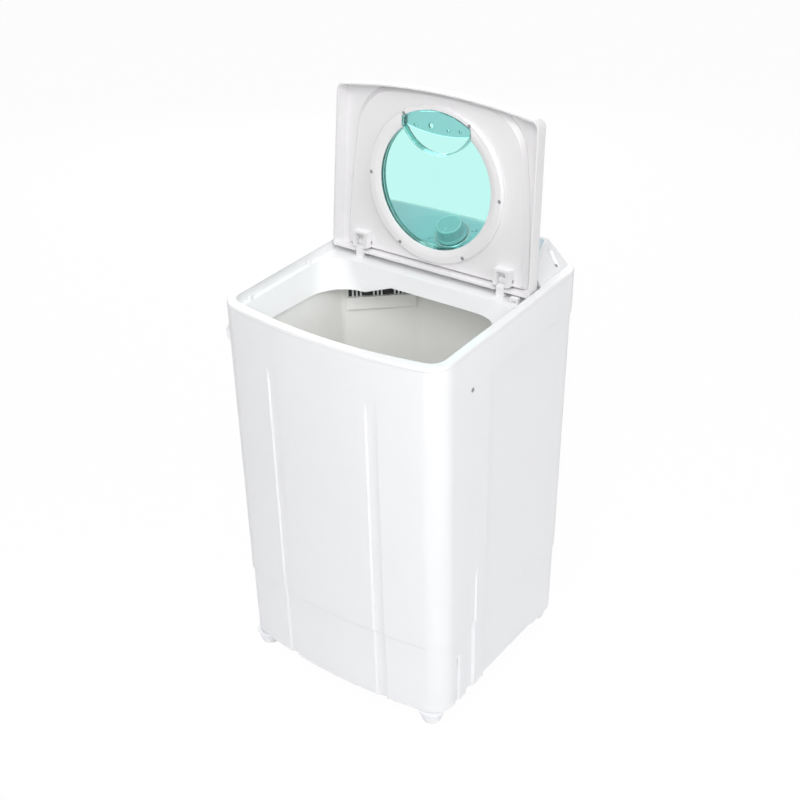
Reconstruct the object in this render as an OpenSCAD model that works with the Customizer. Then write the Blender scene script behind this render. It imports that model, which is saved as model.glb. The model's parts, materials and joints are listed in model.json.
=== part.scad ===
// Mini washing machine with a hinged, windowed lid and a sloping timer console.
// Origin: on the floor under the middle of the machine. X right, Y to the back, Z up.
// The front is bowed, the rim rises to the back, and the lid is modelled open.

/* [Body] */
// Width of the machine over the side walls
body_w = 370; // [350:1:390]
// Depth of the machine, from the crest of the bowed front to the back
body_d = 372; // [360:1:390]
// How far the middle of the front stands ahead of its corners
front_bow = 20; // [10:1:26]
// Radius of the upright corners
corner_r = 28; // [22:1:34]
// Thickness of the moulded walls
wall = 3; // [2.4:0.1:3.6]
// Height of the rim above the floor at the front corners
rim_front_z = 599; // [585:1:615]
// Rise of the rim towards the back, per unit of depth
rim_slope = 0.045; // [0.03:0.005:0.06]
// How far the front draws back from the rim down to the floor
front_taper = 8; // [4:1:12]
// How far the back draws in from the rim down to the floor
rear_taper = 14; // [8:1:18]

/* [Base] */
// Height of the feet, which is the gap under the base
foot_h = 20; // [16:1:26]
// Radius of a foot at the floor
foot_r = 14; // [11:0.5:17]
// Radius of a foot where it meets the base
foot_top_r = 20; // [18:0.5:22]
// Sideways distance from the middle to each foot
foot_x = 157; // [150:1:159]
// Distance from the middle to each foot, to the front and to the back
foot_y = 146; // [138:1:147]
// Height of the seam between the base and the housing
seam_z = 145; // [138:1:152]
// How far the base stands in from the housing
base_inset = 2; // [1:0.2:2.4]
// Width of the flange round the underside of the base
flange_w = 48; // [44:1:54]
// Height of the shelf that carries the chassis plate
shelf_z = 118; // [112:1:122]
// Thickness of the chassis plate
chassis_t = 4; // [3:0.5:5]

/* [Relief] */
// Sideways place of the two upright channels in the front
channel_x = 84; // [78:1:90]
// Width of a front channel
channel_w = 15; // [12:1:18]
// Depth of a front channel
channel_depth = 3; // [2:0.2:4]
// Drop from the rim to where the front channels run out
channel_drop = 69; // [54:1:84]
// Place of the narrow flute in the side of the base
flute_y = -117; // [-120:1:-114]
// Width of the narrow flute
flute_w = 8; // [6:0.5:10]
// Depth of the narrow flute
flute_depth = 3.5; // [2:0.5:4]
// Height at which the narrow flute runs out
flute_top_z = 112; // [106:1:114]
// Place of the wide flute in the side
gutter_y = -84; // [-88:1:-80]
// Width of the wide flute
gutter_w = 18; // [14:0.5:22]
// Depth of the wide flute in the base
gutter_depth = 4.5; // [3:0.5:5]
// Height at which the wide flute runs out
gutter_top_z = 250; // [230:1:270]
// Front edge of the sunk side panel
panel_front_y = -46; // [-52:1:-40]
// Back edge of the floor of the sunk side panel
panel_rear_y = 92; // [86:1:98]
// Depth of the sunk side panel
panel_depth = 4; // [3:0.2:5]
// Width of the slanted flank behind the sunk panel
flank_w = 12; // [9:1:15]
// Depth of the strip behind the panel, which runs round the back
strip_depth = 2; // [1:0.2:3]
// Drop from the rim to the ledge over the side panels
ledge_drop = 49; // [43:1:55]

/* [Top frame] */
// Width of the rim round the opening
lip_w = 11.5; // [10:0.5:13]
// Height of the rim's outer edge above the housing
lip_h = 6; // [5:0.5:8]
// Depth of the lid's seat below the rim
seat_drop = 16; // [14.5:0.5:18]
// Width of the seat round the opening
seat_w = 7.5; // [6.5:0.5:9]
// Drop from the rim to the lower edge of the funnel round the opening
funnel_drop = 48; // [45:1:63]
// How much higher the funnel ends at its back than at its front
funnel_rise = 19; // [0:1:24]
// How much the funnel narrows on each side
funnel_in = 13; // [9:0.5:15]
// Back edge of the opening in the seat
opening_rear_y = 54; // [50:1:56]
// Front face of the console, where the lid's trough ends
console_front_y = 99; // [98:0.5:104]
// Height of the soft buffers under the closed lid
buffer_h = 6.4; // [6:0.1:6.6]

/* [Tub] */
// Height of the tub's floor
tub_floor_z = 204; // [198:1:212]
// Clearance between the tub's wall and the funnel
tub_gap = 1.4; // [1:0.1:1.8]
// How much the tub narrows on each side from the funnel down to its floor
tub_in = 9; // [5:1:14]
// Back wall of the tub where it meets the funnel's height
tub_back_y = 148; // [142:1:154]
// Place along the sides where the tub's cut-off back corners start
tub_cut_y = 65; // [60:1:72]
// Half width of the tub's back wall between its cut-off corners
tub_cut_x = 66; // [58:1:76]
// Drop from the rim to the slab under the overflow comb
comb_drop = 97; // [94:1:114]
// Height of the overflow comb over its slab
comb_h = 30; // [22:1:34]
// Radius of the pulsator
pulsator_r = 116; // [104:1:120]
// Height of a pulsator vane over its disc
vane_h = 16; // [10:1:22]
// Vanes on the pulsator
vanes = 3; // [3:1:5]
// Distance between the ribs of one group in the overflow comb
comb_pitch = 6; // [5:0.5:7]

/* [Drive] */
// Radius of the pulsator shaft
shaft_r = 7; // [6:0.5:8]
// Height of the belt's middle
belt_z = 66; // [62:1:70]
// Radius of the large pulley at the belt
big_pulley_r = 70; // [62:1:74]
// Radius of the small pulley at the belt
small_pulley_r = 20; // [17:1:23]
// Width of the belt
belt_w = 9; // [8:0.5:10]
// Thickness of the belt
belt_t = 6; // [5:0.5:7]
// Distance from the motor's axis back to the body's rear
motor_to_back = 68; // [66:1:72]
// Radius of the motor
motor_r = 46; // [40:1:48]
// Height of the motor's body
motor_h = 66; // [56:1:68]
// Radius of the motor shaft
motor_shaft_r = 5; // [4:0.5:6]
// Radial running clearance of the shafts and pins
running = 0.05; // [0.03:0.01:0.08]

/* [Lid] */
// Half width of the lid at its hinge edge
lid_half_w = 171; // [168:0.5:171]
// How much narrower each side is at the front
lid_taper = 6; // [3:0.5:9]
// Length of the lid along its sides
lid_l = 242; // [236:1:244]
// How far the middle of the lid's front stands ahead
lid_bow = 13.8; // [8:0.2:16]
// Depth of the lid's skirt
lid_h = 23; // [22:0.2:24]
// Thickness of the lid's wall
lid_wall = 2.8; // [2.4:0.1:3.2]
// Height of the hinge axis above the rim beside it
hinge_rise = 4.2; // [3.8:0.1:5]
// Distance of the hinge axis from the middle of the machine
hinge_y = 82.3; // [82:0.1:84]
// Distance from the lid's hinge edge to the hinge axis
hinge_edge = 12.7; // [12.5:0.1:13.5]
// Distance from the lid's outer face down to the hinge axis
hinge_depth = 9.6; // [9.2:0.1:9.8]
// Lean of the open lid behind the vertical
lid_lean = 4; // [2:0.5:6]
// Sideways place of the two hinges
hinge_x = 122; // [112:1:130]
// Width of a hinge arm
arm_w = 13; // [11:0.5:14]
// Radius of a hinge pin
pin_r = 2.5; // [2:0.1:3]
// Distance from the lid's hinge edge to the middle of the window
window_u = 122.3; // [121:0.5:123.5]
// Radius of the clear opening of the window
window_r = 92.7; // [90:0.1:94]
// Radius of the circle that the ring's screws stand on
ring_screw_r = 108; // [107:0.2:109]
// Radius of the arc that closes the finger grip below
grip_arc_r = 63.9; // [60:0.5:68]
// Distance from the middle of the window to the lowest point of the grip
grip_low = 43.7; // [40:0.5:46]
// Radius of the arc that closes the finger grip above
grip_top_r = 105.5; // [104:0.5:106]
// Half width of the finger grip between its cut tips
grip_half_w = 56.5; // [54:0.5:58]
// Depth of the window's sheet under the lid's outer face
window_deep = 4.1; // [3.5:0.1:4.5]

/* [Console] */
// Rise of the console's crest over the rim at its ends
crest_rise = 54; // [46:1:61]
// Distance of the crest behind the middle
crest_y = 160; // [154:1:164]
// How far the crest rises in its middle
crest_bow = 4; // [1:0.5:6]
// Half length of the crest
crest_half_w = 144; // [136:1:150]
// Rise of the console's front edge over the rim
console_front_rise = 29; // [26:0.5:33]
// Half width of the console where it meets the deck
console_half_w = 169; // [164:1:170]
// Radius of the timer knob's foot
knob_r = 23; // [18:0.5:25]
// Height of the timer knob
knob_h = 20; // [15:0.5:24]
// Sideways place of the timer knob
knob_x = 8; // [0:1:30]
// Distance of the knob up the slope from the fascia's front edge
knob_up = 27; // [26:0.5:32]
// Travel of the timer knob in degrees
knob_travel = 300; // [200:10:330]

/* [Services] */
// Width of the service opening in the back
service_w = 220; // [190:5:240]
// Height of the service opening in the back
service_h = 250; // [220:5:270]
// Outer radius of the drain spigot
spigot_r = 10; // [8:0.5:12]
// Sideways place of the drain
drain_x = 112; // [104:1:118]
// Radius of the hole for the mains lead in its gland
lead_r = 4; // [3:0.25:5]
// Clearance between fixed pieces that lie close
gap = 0.3; // [0.2:0.05:0.4]

/* [Hidden] */

$fn = 64;
arc_n = 6;
side_n = 5;
front_n = 14;
rear_n = 4;

white = [0.94, 0.94, 0.95];
cream = [0.84, 0.83, 0.80];
teal = [0.25, 0.72, 0.68, 0.6];
steel = [0.70, 0.71, 0.73];
dark = [0.15, 0.15, 0.16];

// Heights that follow the rim
channel_top_z = rim_front_z - channel_drop;
ledge_z = rim_front_z - ledge_drop;
funnel_z = rim_front_z - funnel_drop;
comb_z = rim_front_z - comb_drop;
crest_z = rim_front_z + crest_rise;
console_front_z = rim_front_z + console_front_rise;
side_screw_z = rim_front_z - 59;
hook_z = rim_front_z - 51;

// Body lines: where the front corners, the back and the rim stand at each height
front_corner_y = -body_d / 2 + front_bow;
function lean(z) = max(0, 1 - z / rim_front_z);
function front_at(z) = front_corner_y + front_taper * lean(z);
function rear_at(z) = body_d / 2 - rear_taper * lean(z);
function rim_z(y) = rim_front_z + rim_slope * (y - front_corner_y);
rim_tilt = atan(rim_slope);
rear_tilt = atan(rear_taper / rim_front_z);

// Hinge axis, and the lid's angles about it
hinge_z = rim_z(hinge_y) + hinge_rise;
lid_open = -90 - lid_lean;
seat_to_skirt = seat_drop - (lid_h - hinge_depth - hinge_rise);

// Lid places in its own frame: the origin on the hinge axis, the closed lid level
lid_top = hinge_depth;
lid_bottom = hinge_depth - lid_h;
ceiling = lid_top - lid_wall;
liner_z = 0.8;
liner_t = 2.2;
window_y = hinge_edge - window_u;
window_rim = lid_top + 0.4;
sheet_t = 2;
sheet_z = lid_top - window_deep - sheet_t;
ring_inner = liner_z - 3.8;
ring_face = liner_z - 6.3;
window_flange_r = window_r + 8;
ring_r = ring_screw_r + 5;
grip_corner_u = 77.65;
socket_w = 26;
socket_front = 30;
socket_back = 6;
socket_web = 3.6;
socket_deep = lid_top - 21.6;
eye_r = 6.3;
skirt_notch = 9;

// Console and timer
console_slope = atan((crest_z + crest_bow - console_front_z) / (crest_y - console_front_y));
fascia_t = 1.6;
fascia_margin = 5;
dial_r = knob_r + 3.6;
dial_t = 2;
timer_shaft_r = 3;

// Tub and drive
tub_top_drop = seat_drop + wall;
tub_y = -4;
pulsator_z = tub_floor_z + 3;
shaft_bottom_z = belt_z - 22;
bearing_r = 15;
bearing_h = 10;
seal_h = 5;
housing_r = 27;
housing_bottom_z = belt_z + 26;
pulley_w = belt_w + 5;
chassis_z = shelf_z + chassis_t;
motor_bottom_z = chassis_z + 8;
motor_x = 0;
motor_y = body_d / 2 - motor_to_back;
drain_y = 20;
drain_z = 70;

// Limits a value to lie between 0 and 1
function unit(v) = max(0, min(1, v));

// How strongly a relief shows at height z when it runs out at the height top over the length run
function fade(z, top, run) = unit((top - z) / run);

// Points of an arc from angle a0 to a1, without its first point
function arc(cx, cy, r, a0, a1, n) =
    [for (i = [1:n]) let (a = a0 + (a1 - a0) * i / n) [cx + r * cos(a), cy + r * sin(a)]];

// A row of points from p to q, without its first point
function row(p, q, n) = [for (i = [1:n]) p + (q - p) * i / n];

// Moves points ahead by a bow that is full on the centre line and nothing at half width w
function bowed(points, w, bow) = [for (p = points) [p.x, p.y - bow * (1 - pow(p.x / w, 2))]];

// A rounded outline, seen from above and anticlockwise from the front end of the right side
function outline(w, y0, y1, r0, r1, bow) =
    let (side_end = y1 - r1)
    concat(
        row([w, y0 + r0], [w, side_end], side_n),
        arc(w - r1, side_end, r1, 0, 90, arc_n),
        row([w - r1, y1], [r1 - w, y1], rear_n),
        arc(r1 - w, side_end, r1, 90, 180, arc_n),
        row([-w, side_end], [-w, y0 + r0], side_n),
        bowed(arc(r0 - w, y0 + r0, r0, 180, 270, arc_n), w, bow),
        bowed(row([r0 - w, y0], [w - r0, y0], front_n), w, bow),
        bowed(arc(w - r0, y0 + r0, r0, 270, 360, arc_n), w, bow)
    );

// The body's outline at height z, set in on all sides
function body_outline(z, inset) =
    outline(body_w / 2 - inset, front_at(z) + inset, rear_at(z) - inset,
            max(2, corner_r - inset), max(2, corner_r - inset), front_bow);

// Marks along a relief: place, and how much of its depth it has there
function notch(at, w, d, run) =
    [[at - w / 2 - run, 0], [at - w / 2, d], [at + w / 2, d], [at + w / 2 + run, 0]];

// Depth marks along the side wall from front to back at height z; lower is the base's share
function side_marks(z, lower) =
    let (narrow = flute_depth * lower * fade(z, flute_top_z, 14),
         wide = (lower > 0 ? gutter_depth : gutter_depth / 2) * fade(z, gutter_top_z, 35),
         panel = panel_depth * fade(z, ledge_z, 2.5),
         strip = strip_depth * fade(z, ledge_z, 2.5))
    concat(
        notch(flute_y, flute_w, narrow, 2),
        notch(gutter_y, gutter_w, wide, 2.5),
        [[panel_front_y - 2, 0], [panel_front_y, panel], [20, panel], [panel_rear_y, panel],
         [panel_rear_y + flank_w, strip]]
    );

// Depth marks along the front from left to right at height z
function front_marks(z) =
    let (d = channel_depth * fade(z, channel_top_z, 25))
    concat(
        [for (x = [-140, -120]) [x, 0]], notch(-channel_x, channel_w, d, 1.6),
        [for (x = [-52, -26, 0, 26, 52]) [x, 0]], notch(channel_x, channel_w, d, 1.6),
        [for (x = [120, 140]) [x, 0]]
    );

// The body's outline at height z with its flutes, channels and sunk panels
function relief_outline(z, inset, lower) =
    let (w = body_w / 2 - inset,
         r = max(2, corner_r - inset),
         y0 = front_at(z) + inset,
         strip = strip_depth * fade(z, ledge_z, 2.5),
         y1 = rear_at(z) - inset,
         k = 1 - max(0, inset - 8) / 100,
         keep = inset > 20 ? 0 : 1,
         side = [for (m = side_marks(z, lower)) [m[0] * k, m[1] * keep]],
         n = len(side))
    concat(
        [for (m = side) [w - m[1], m[0]]],
        [[w - strip, y1 - r]],
        arc(w - r, y1 - r, r - strip, 0, 90, arc_n),
        row([w - r, y1 - strip], [r - w, y1 - strip], rear_n),
        arc(r - w, y1 - r, r - strip, 90, 180, arc_n),
        [for (i = [n - 1:-1:0]) [side[i][1] - w, side[i][0]]],
        bowed(concat([[-w, y0 + r]], arc(r - w, y0 + r, r, 180, 270, arc_n)), w, front_bow),
        [for (m = front_marks(z)) bowed([[m[0] * k, y0]], w, front_bow)[0] + [0, m[1] * keep]],
        bowed(concat([[w - r, y0]], arc(w - r, y0 + r, r, 270, 360, arc_n)), w, front_bow)
    );

// Lifts an outline to a level height, or to a height measured down from the rim
function level(points, z) = [for (p = points) [p.x, p.y, z]];
function below_rim(points, drop) = [for (p = points) [p.x, p.y, rim_z(p.y) - drop]];

// Triangles between ring i and ring k of n points each
function band(i, k, n) =
    [for (j = [0:n - 1]) let (m = (j + 1) % n)
        each [[i * n + j, k * n + m, i * n + m], [i * n + j, k * n + j, k * n + m]]];

// A hoop-shaped solid through rings of points, where the last ring joins the first
module hoop(rings) {
    n = len(rings[0]);
    m = len(rings);
    polyhedron(points = [for (r = rings) each r],
               faces = [for (i = [0:m - 1]) each band(i, (i + 1) % m, n)], convexity = 10);
}

// The sum of a list of points
function sum(points, i = 0) = i == len(points) - 1 ? points[i] : points[i] + sum(points, i + 1);

// A solid through rings of points, closed at each end by triangles to the ring's middle
module stack(rings) {
    n = len(rings[0]);
    m = len(rings);
    first = m * n;
    last = first + 1;
    polyhedron(points = concat([for (r = rings) each r], [sum(rings[0]) / n, sum(rings[m - 1]) / n]),
               faces = concat([for (j = [0:n - 1]) [first, j, (j + 1) % n]],
                              [for (i = [0:m - 2]) each band(i, i + 1, n)],
                              [for (j = [0:n - 1]) [last, (m - 1) * n + (j + 1) % n, (m - 1) * n + j]]),
               convexity = 10);
}

// A flat plate of an outline
module plate(points, z, t) {
    translate([0, 0, z]) linear_extrude(height = t) polygon(points);
}

module tube(r, bore, h) {
    difference() {
        cylinder(h = h, r = r);
        translate([0, 0, -1]) cylinder(h = h + 2, r = bore);
    }
}

// Puts its children on the back wall: local Y points out of it and local Z runs up it
module on_back(x, z, inset) {
    translate([x, rear_at(0) - strip_depth - inset, 0])
        rotate([-rear_tilt, 0, 0]) translate([0, 0, z]) children();
}

// Puts its children on the lid, whose own frame has the hinge axis as its origin
module on_lid() {
    translate([0, hinge_y, hinge_z]) rotate([lid_open, 0, 0]) children();
}

// Puts its children on the fascia: local Z stands out of it and local Y runs up the slope
module on_fascia(x, up) {
    translate([x, console_front_y, console_front_z]) rotate([console_slope, 0, 0])
        translate([0, up, 0]) children();
}

// Repeats its children at the four corners of a rectangle
module at_corners(x, y) {
    for (sx = [-1, 1]) for (sy = [-1, 1]) translate([sx * x, sy * y, 0]) children();
}

// Heights at which the housing's relief changes
housing_levels = [seam_z, gutter_top_z - 35, gutter_top_z, channel_top_z - 25, channel_top_z,
                  ledge_z - 2.5, ledge_z];

module outer_housing() {
    outer = [for (z = housing_levels) level(relief_outline(z, 0, 0), z)];
    inner = [for (i = [len(housing_levels) - 1:-1:0]) let (z = housing_levels[i])
        level(relief_outline(z, wall, 0), z)];
    color(white) difference() {
        hoop(concat(outer,
                    [below_rim(relief_outline(rim_front_z, 0, 0), lip_h)],
                    [below_rim(relief_outline(rim_front_z, wall, 0), lip_h)],
                    inner));
        on_back(0, service_z, wall)
            translate([-service_w / 2, -20, -service_h / 2]) cube([service_w, 40, service_h]);
        for (s = [-1, 1]) translate([s * (body_w / 2 + 1), side_screw_y, side_screw_z])
            rotate([0, -s * 90, 0]) {
                cylinder(h = 8, r = 2.2, $fn = 24);
                cylinder(h = 2.2, r = 3.8, $fn = 32);
            }
    }
}

service_z = 350;
side_screw_y = -92;

module base() {
    in = base_inset;
    tongue = wall + gap;
    outer = [for (z = [foot_h + 3, flute_top_z - 14, flute_top_z, seam_z])
        level(relief_outline(z, in, 1), z)];
    color(white) difference() {
        hoop(concat(
            [level(relief_outline(foot_h, in + 2, 1), foot_h)],
            outer,
            [level(relief_outline(seam_z, tongue, 0), seam_z),
             level(relief_outline(seam_z, tongue, 0), seam_z + 9),
             level(relief_outline(seam_z, tongue + wall, 0), seam_z + 9),
             level(relief_outline(seam_z, tongue + wall, 0), seam_z - 4),
             level(relief_outline(seam_z, in + wall + 4.5, 1), seam_z - 8),
             level(relief_outline(shelf_z, in + wall + 4.5, 1), shelf_z),
             level(relief_outline(shelf_z, in + shelf_w, 1), shelf_z),
             level(relief_outline(shelf_z, in + shelf_w, 1), shelf_z - 4),
             level(relief_outline(shelf_z, in + wall, 1), shelf_z - 6),
             level(relief_outline(foot_h + flange_t, in + wall, 1), foot_h + flange_t),
             level(relief_outline(foot_h, in + flange_w, 1), foot_h + flange_t),
             level(relief_outline(foot_h, in + flange_w, 1), foot_h)]));
        at_corners(foot_x, foot_y) translate([0, 0, foot_h - 1]) cylinder(h = 8, r = 2.2);
        translate([drain_x, rear_at(drain_z), drain_z]) rotate([90, 0, 0])
            cylinder(h = 60, r = spigot_r + 1 + gap, center = true);
        translate([lead_x, rear_at(lead_z), lead_z]) rotate([90, 0, 0])
            cylinder(h = 60, r = gland_r + gap, center = true);
    }
}

shelf_w = 16;
flange_t = 4;
lead_from_side = 65;
lead_x = lead_from_side - body_w / 2;
lead_z = 72;
gland_r = 8;

module bottom_cover() {
    z = foot_h + flange_t;
    color(cream) difference() {
        plate(body_outline(foot_h, base_inset + flange_w - 12), z, 2);
        for (i = [-5:5]) translate([i * 20, 0, z]) cube([8, 120, 20], center = true);
    }
}

module feet() {
    color(white) at_corners(foot_x, foot_y) difference() {
        cylinder(h = foot_h, r1 = foot_r, r2 = foot_top_r);
        translate([0, 0, -1]) cylinder(h = foot_h - 5, r = 5);
        translate([0, 0, -1]) cylinder(h = foot_h + 2, r = 2.2);
    }
}

module foot_screws() {
    color(steel) at_corners(foot_x, foot_y) {
        translate([0, 0, foot_h - 6 - 2.5]) cylinder(h = 2.5, r = 4.2);
        translate([0, 0, foot_h - 7]) cylinder(h = 7 + flange_t, r = 2);
    }
}

// Outlines of the top frame's recess, seat and funnel
function recess(grow) =
    outline(body_w / 2 - lip_w + grow, front_corner_y + lip_w - grow, console_front_y + grow,
            corner_r - lip_w + grow, 6 + grow, front_bow);
function seat_edge(grow) =
    let (in = lip_w + seat_w - grow)
    outline(body_w / 2 - in, front_corner_y + in, opening_rear_y + grow,
            max(4, corner_r - in), 40 + grow, front_bow);
function funnel_edge(grow) =
    let (in = lip_w + seat_w + funnel_in - grow)
    outline(body_w / 2 - in, front_corner_y + in, opening_rear_y - funnel_in * 0.5 + grow,
            funnel_r + grow, 56 + grow, front_bow);
funnel_r = 20;

// The funnel's lower edge, which lies higher at the back, but not in its left corner
function funnel_low(points) =
    [for (p = points) [p.x, p.y, funnel_z + funnel_rise * unit((p.x + 93) / 30) * unit((p.y + 10) / 45)]];

module top_frame() {
    tongue = wall + gap;
    edge = body_outline(rim_front_z, 0);
    color(white) difference() {
        union() {
        hoop([
            below_rim(edge, lip_h),
            below_rim(edge, 3),
            below_rim(body_outline(rim_front_z, 0.9), 0.9),
            below_rim(body_outline(rim_front_z, 3), 0),
            below_rim(recess(-1.2), 0),
            below_rim(recess(0), 1.2),
            below_rim(recess(0), seat_drop),
            below_rim(seat_edge(0), seat_drop),
            funnel_low(funnel_edge(0)),
            funnel_low(funnel_edge(wall - 0.6)),
            below_rim(seat_edge(wall), seat_drop + wall),
            below_rim(recess(wall), seat_drop + wall),
            below_rim(recess(wall), wall),
            below_rim(body_outline(rim_front_z, tongue + wall), wall),
            below_rim(body_outline(rim_front_z - 50, tongue + wall), 30),
            below_rim(body_outline(rim_front_z - 50, tongue), 30),
            below_rim(body_outline(rim_front_z, tongue), lip_h)
        ]);
        for (s = [-1, 1]) translate([s * (body_w / 2 - tongue - wall / 2), side_screw_y, side_screw_z])
            translate([-wall / 2, -9, -12]) cube([wall, 18, 50]);
        }
        translate([160, opening_rear_y + 20, rim_front_z - 20]) cube([6, 10, 60], center = true);
        translate([knob_x - timer_w / 2 - 3, console_front_y + 6, crest_z - 90])
            cube([timer_w + 6, timer_d + 8, 90]);
        for (s = [-1, 1]) translate([s * (body_w / 2 + 1), side_screw_y, side_screw_z])
            rotate([0, -s * 90, 0]) cylinder(h = 12, r = 1.9, $fn = 24);
    }
}

timer_w = 52;
timer_d = 40;

module lid_buffers() {
    drop = seat_drop - buffer_h;
    color(cream) for (s = [-1, 1]) for (y = [-120, 10])
        translate([s * (body_w / 2 - lip_w - seat_w / 2), y, rim_z(y) - seat_drop])
            rotate([rim_tilt, 0, 0]) cylinder(h = buffer_h, r1 = 3.4, r2 = 2.8, $fn = 32);
}

// One slice of the console at the fraction t of its half width, set in by a wall
function console_slice(t, in, foot) =
    let (z = rim_z(console_front_y) + foot,
         zr = rim_z(console_back_y) + foot,
         bow = crest_bow * (1 - t * t),
         a = console_half_w - in,
         b = a - (console_front_z - rim_z(console_front_y)) * 0.6,
         c = crest_half_w - in)
    [[t * a, console_front_y + in, z],
     [t * a, console_back_y - in, zr],
     [t * c, crest_y - in * 0.4, crest_z + bow - in],
     [t * b, console_front_y + in, console_front_z - in]];

console_back_y = 176;
slices = [for (i = [-6:6]) i / 6];

module console_housing() {
    reach = 1.2;
    color(white) difference() {
        stack([for (t = slices) console_slice(t, 0, 0)]);
        stack([for (t = slices) console_slice(t, wall * 0.9, -reach)]);
        on_fascia(knob_x, knob_up) translate([0, 0, -10]) cylinder(h = 30, r = timer_shaft_r + 4);
        for (s = [-1, 1]) on_cheek(s) {
            translate([0, 0, 5]) cylinder(h = 18, r = 5.5);
            translate([0, 0, 5]) sphere(r = 5.5);
            translate([0, 0, 23]) sphere(r = 5.5);
        }
    }
}

// Puts its children on a console cheek: local Z runs up it and local X stands out of it
module on_cheek(s) {
    rise = crest_z - rim_z(cheek_y);
    run = console_half_w - crest_half_w;
    translate([s * console_half_w, cheek_y, rim_z(cheek_y)]) mirror([s < 0 ? 1 : 0, 0, 0])
        rotate([0, -atan(run / rise), 0]) translate([2.5, 0, 6]) children();
}

cheek_y = 152;

// A point h above the console's sloping face, at the fraction t across it and v up it
function face_point(t, v, h) =
    let (b = console_half_w - (console_front_z - rim_z(console_front_y)) * 0.6,
         y = v * (crest_y - console_front_y))
    [t * (b + (crest_half_w - b) * v),
     console_front_y + y - h * sin(console_slope),
     console_front_z + (crest_z + crest_bow * (1 - t * t) - console_front_z) * v
        + h * cos(console_slope)];

module fascia_panel() {
    v0 = fascia_margin * cos(console_slope) / (crest_y - console_front_y);
    v1 = 1 - v0;
    ends = 1 - fascia_margin / crest_half_w;
    color([0.55, 0.68, 0.70]) difference() {
        stack([for (i = [-6:6]) let (t = i / 6 * ends)
            [face_point(t, v0, gap + 0.3), face_point(t, v1, gap + 0.3),
             face_point(t, v1, fascia_t), face_point(t, v0, fascia_t)]]);
        on_fascia(knob_x, knob_up) translate([0, 0, -10]) cylinder(h = 30, r = timer_shaft_r + 4);
    }
}

module dial_ring() {
    color(steel) on_fascia(knob_x, knob_up) translate([0, 0, fascia_t])
        rotate_extrude($fn = 96) polygon([[timer_shaft_r + 5, 0], [dial_r, 0], [dial_r, dial_t - 0.8],
            [dial_r - 0.8, dial_t], [knob_r + 1.4, dial_t], [knob_r + 0.8, dial_t - 1.2],
            [timer_shaft_r + 5, dial_t - 1.2]]);
}

module timer_body() {
    color(dark) on_fascia(knob_x, knob_up) {
        difference() {
            union() {
                translate([-timer_w / 2, -timer_d / 2 + 3, -timer_h - timer_drop])
                    cube([timer_w, timer_d - 6, timer_h]);
                translate([0, 0, -timer_drop - 1])
                    cylinder(h = timer_drop + 1 + fascia_t + 1.2, r = timer_shaft_r + 3);
            }
            translate([0, 0, -timer_drop - 6]) cylinder(h = 30, r = timer_shaft_r + running);
        }
    }
}

timer_h = 24;
timer_drop = 5.6;

module timer_nut() {
    color(steel) on_fascia(knob_x, knob_up) translate([0, 0, fascia_t]) difference() {
        cylinder(h = 1.2, r = timer_shaft_r + 4.6, $fn = 6);
        translate([0, 0, -1]) cylinder(h = 5, r = timer_shaft_r + 3);
    }
}

module console_screws() {
    color(dark) for (s = [-1, 1]) on_cheek(s) translate([-4.6, 0, 5]) rotate([0, 90, 0])
        cylinder(h = 1.6, r = 3);
}

// Points that round the corner b between a and c
function rounded(a, b, c, r, n = 3) =
    let (u = (a - b) / norm(a - b), v = (c - b) / norm(c - b),
         half = acos(u * v) / 2,
         m = b + (u + v) / norm(u + v) * r / sin(half),
         p = b + u * r / tan(half) - m,
         a0 = atan2(p.y, p.x))
    [for (i = [0:n]) let (t = a0 + (180 - 2 * half) * i / n) m + r * [cos(t), sin(t)]];

// The tub's outline: square in front, bowed, and cut off at the back corners
function tub_outline(w, y0, y1, cx, cy, r0, bow) =
    concat(
        rounded([w, y0], [w, cy], [cx, y1], 12),
        rounded([w, cy], [cx, y1], [-cx, y1], 12),
        rounded([cx, y1], [-cx, y1], [-w, cy], 12),
        rounded([-cx, y1], [-w, cy], [-w, y0], 12),
        bowed(concat([[-w, y0 + r0]], arc(r0 - w, y0 + r0, r0, 180, 270, 4)), w, bow),
        bowed(row([r0 - w, y0], [w - r0, y0], 7), w, bow),
        bowed(arc(w - r0, y0 + r0, r0, 270, 360, 4), w, bow)
    );

// The tub's outline at its top edge, at the funnel's height and at its floor
tub_top_in = lip_w + seat_w - wall - tub_gap;
tub_neck_in = lip_w + seat_w + funnel_in - (wall - 0.6) - tub_gap;
function tub_top(grow) =
    tub_outline(body_w / 2 - tub_top_in + grow, front_corner_y + tub_top_in - grow,
                tub_back_y + 10 + grow, tub_cut_x + 6 + grow * 0.4, tub_cut_y + grow * 0.4,
                corner_r - tub_top_in + grow, front_bow);
function tub_neck(grow) =
    tub_outline(body_w / 2 - tub_neck_in + grow, front_corner_y + tub_neck_in - grow,
                tub_back_y + grow, tub_cut_x + grow * 0.4, tub_cut_y + grow * 0.4,
                funnel_r + 2 + grow, front_bow);
function tub_foot(grow) =
    tub_outline(body_w / 2 - tub_neck_in - tub_in + grow, front_corner_y + tub_neck_in + tub_in - grow,
                tub_back_y - tub_in + grow, tub_cut_x + grow * 0.4, tub_cut_y + grow * 0.4,
                funnel_r + 6 + grow, front_bow * 0.7);
tub_corner = 14;

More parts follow.
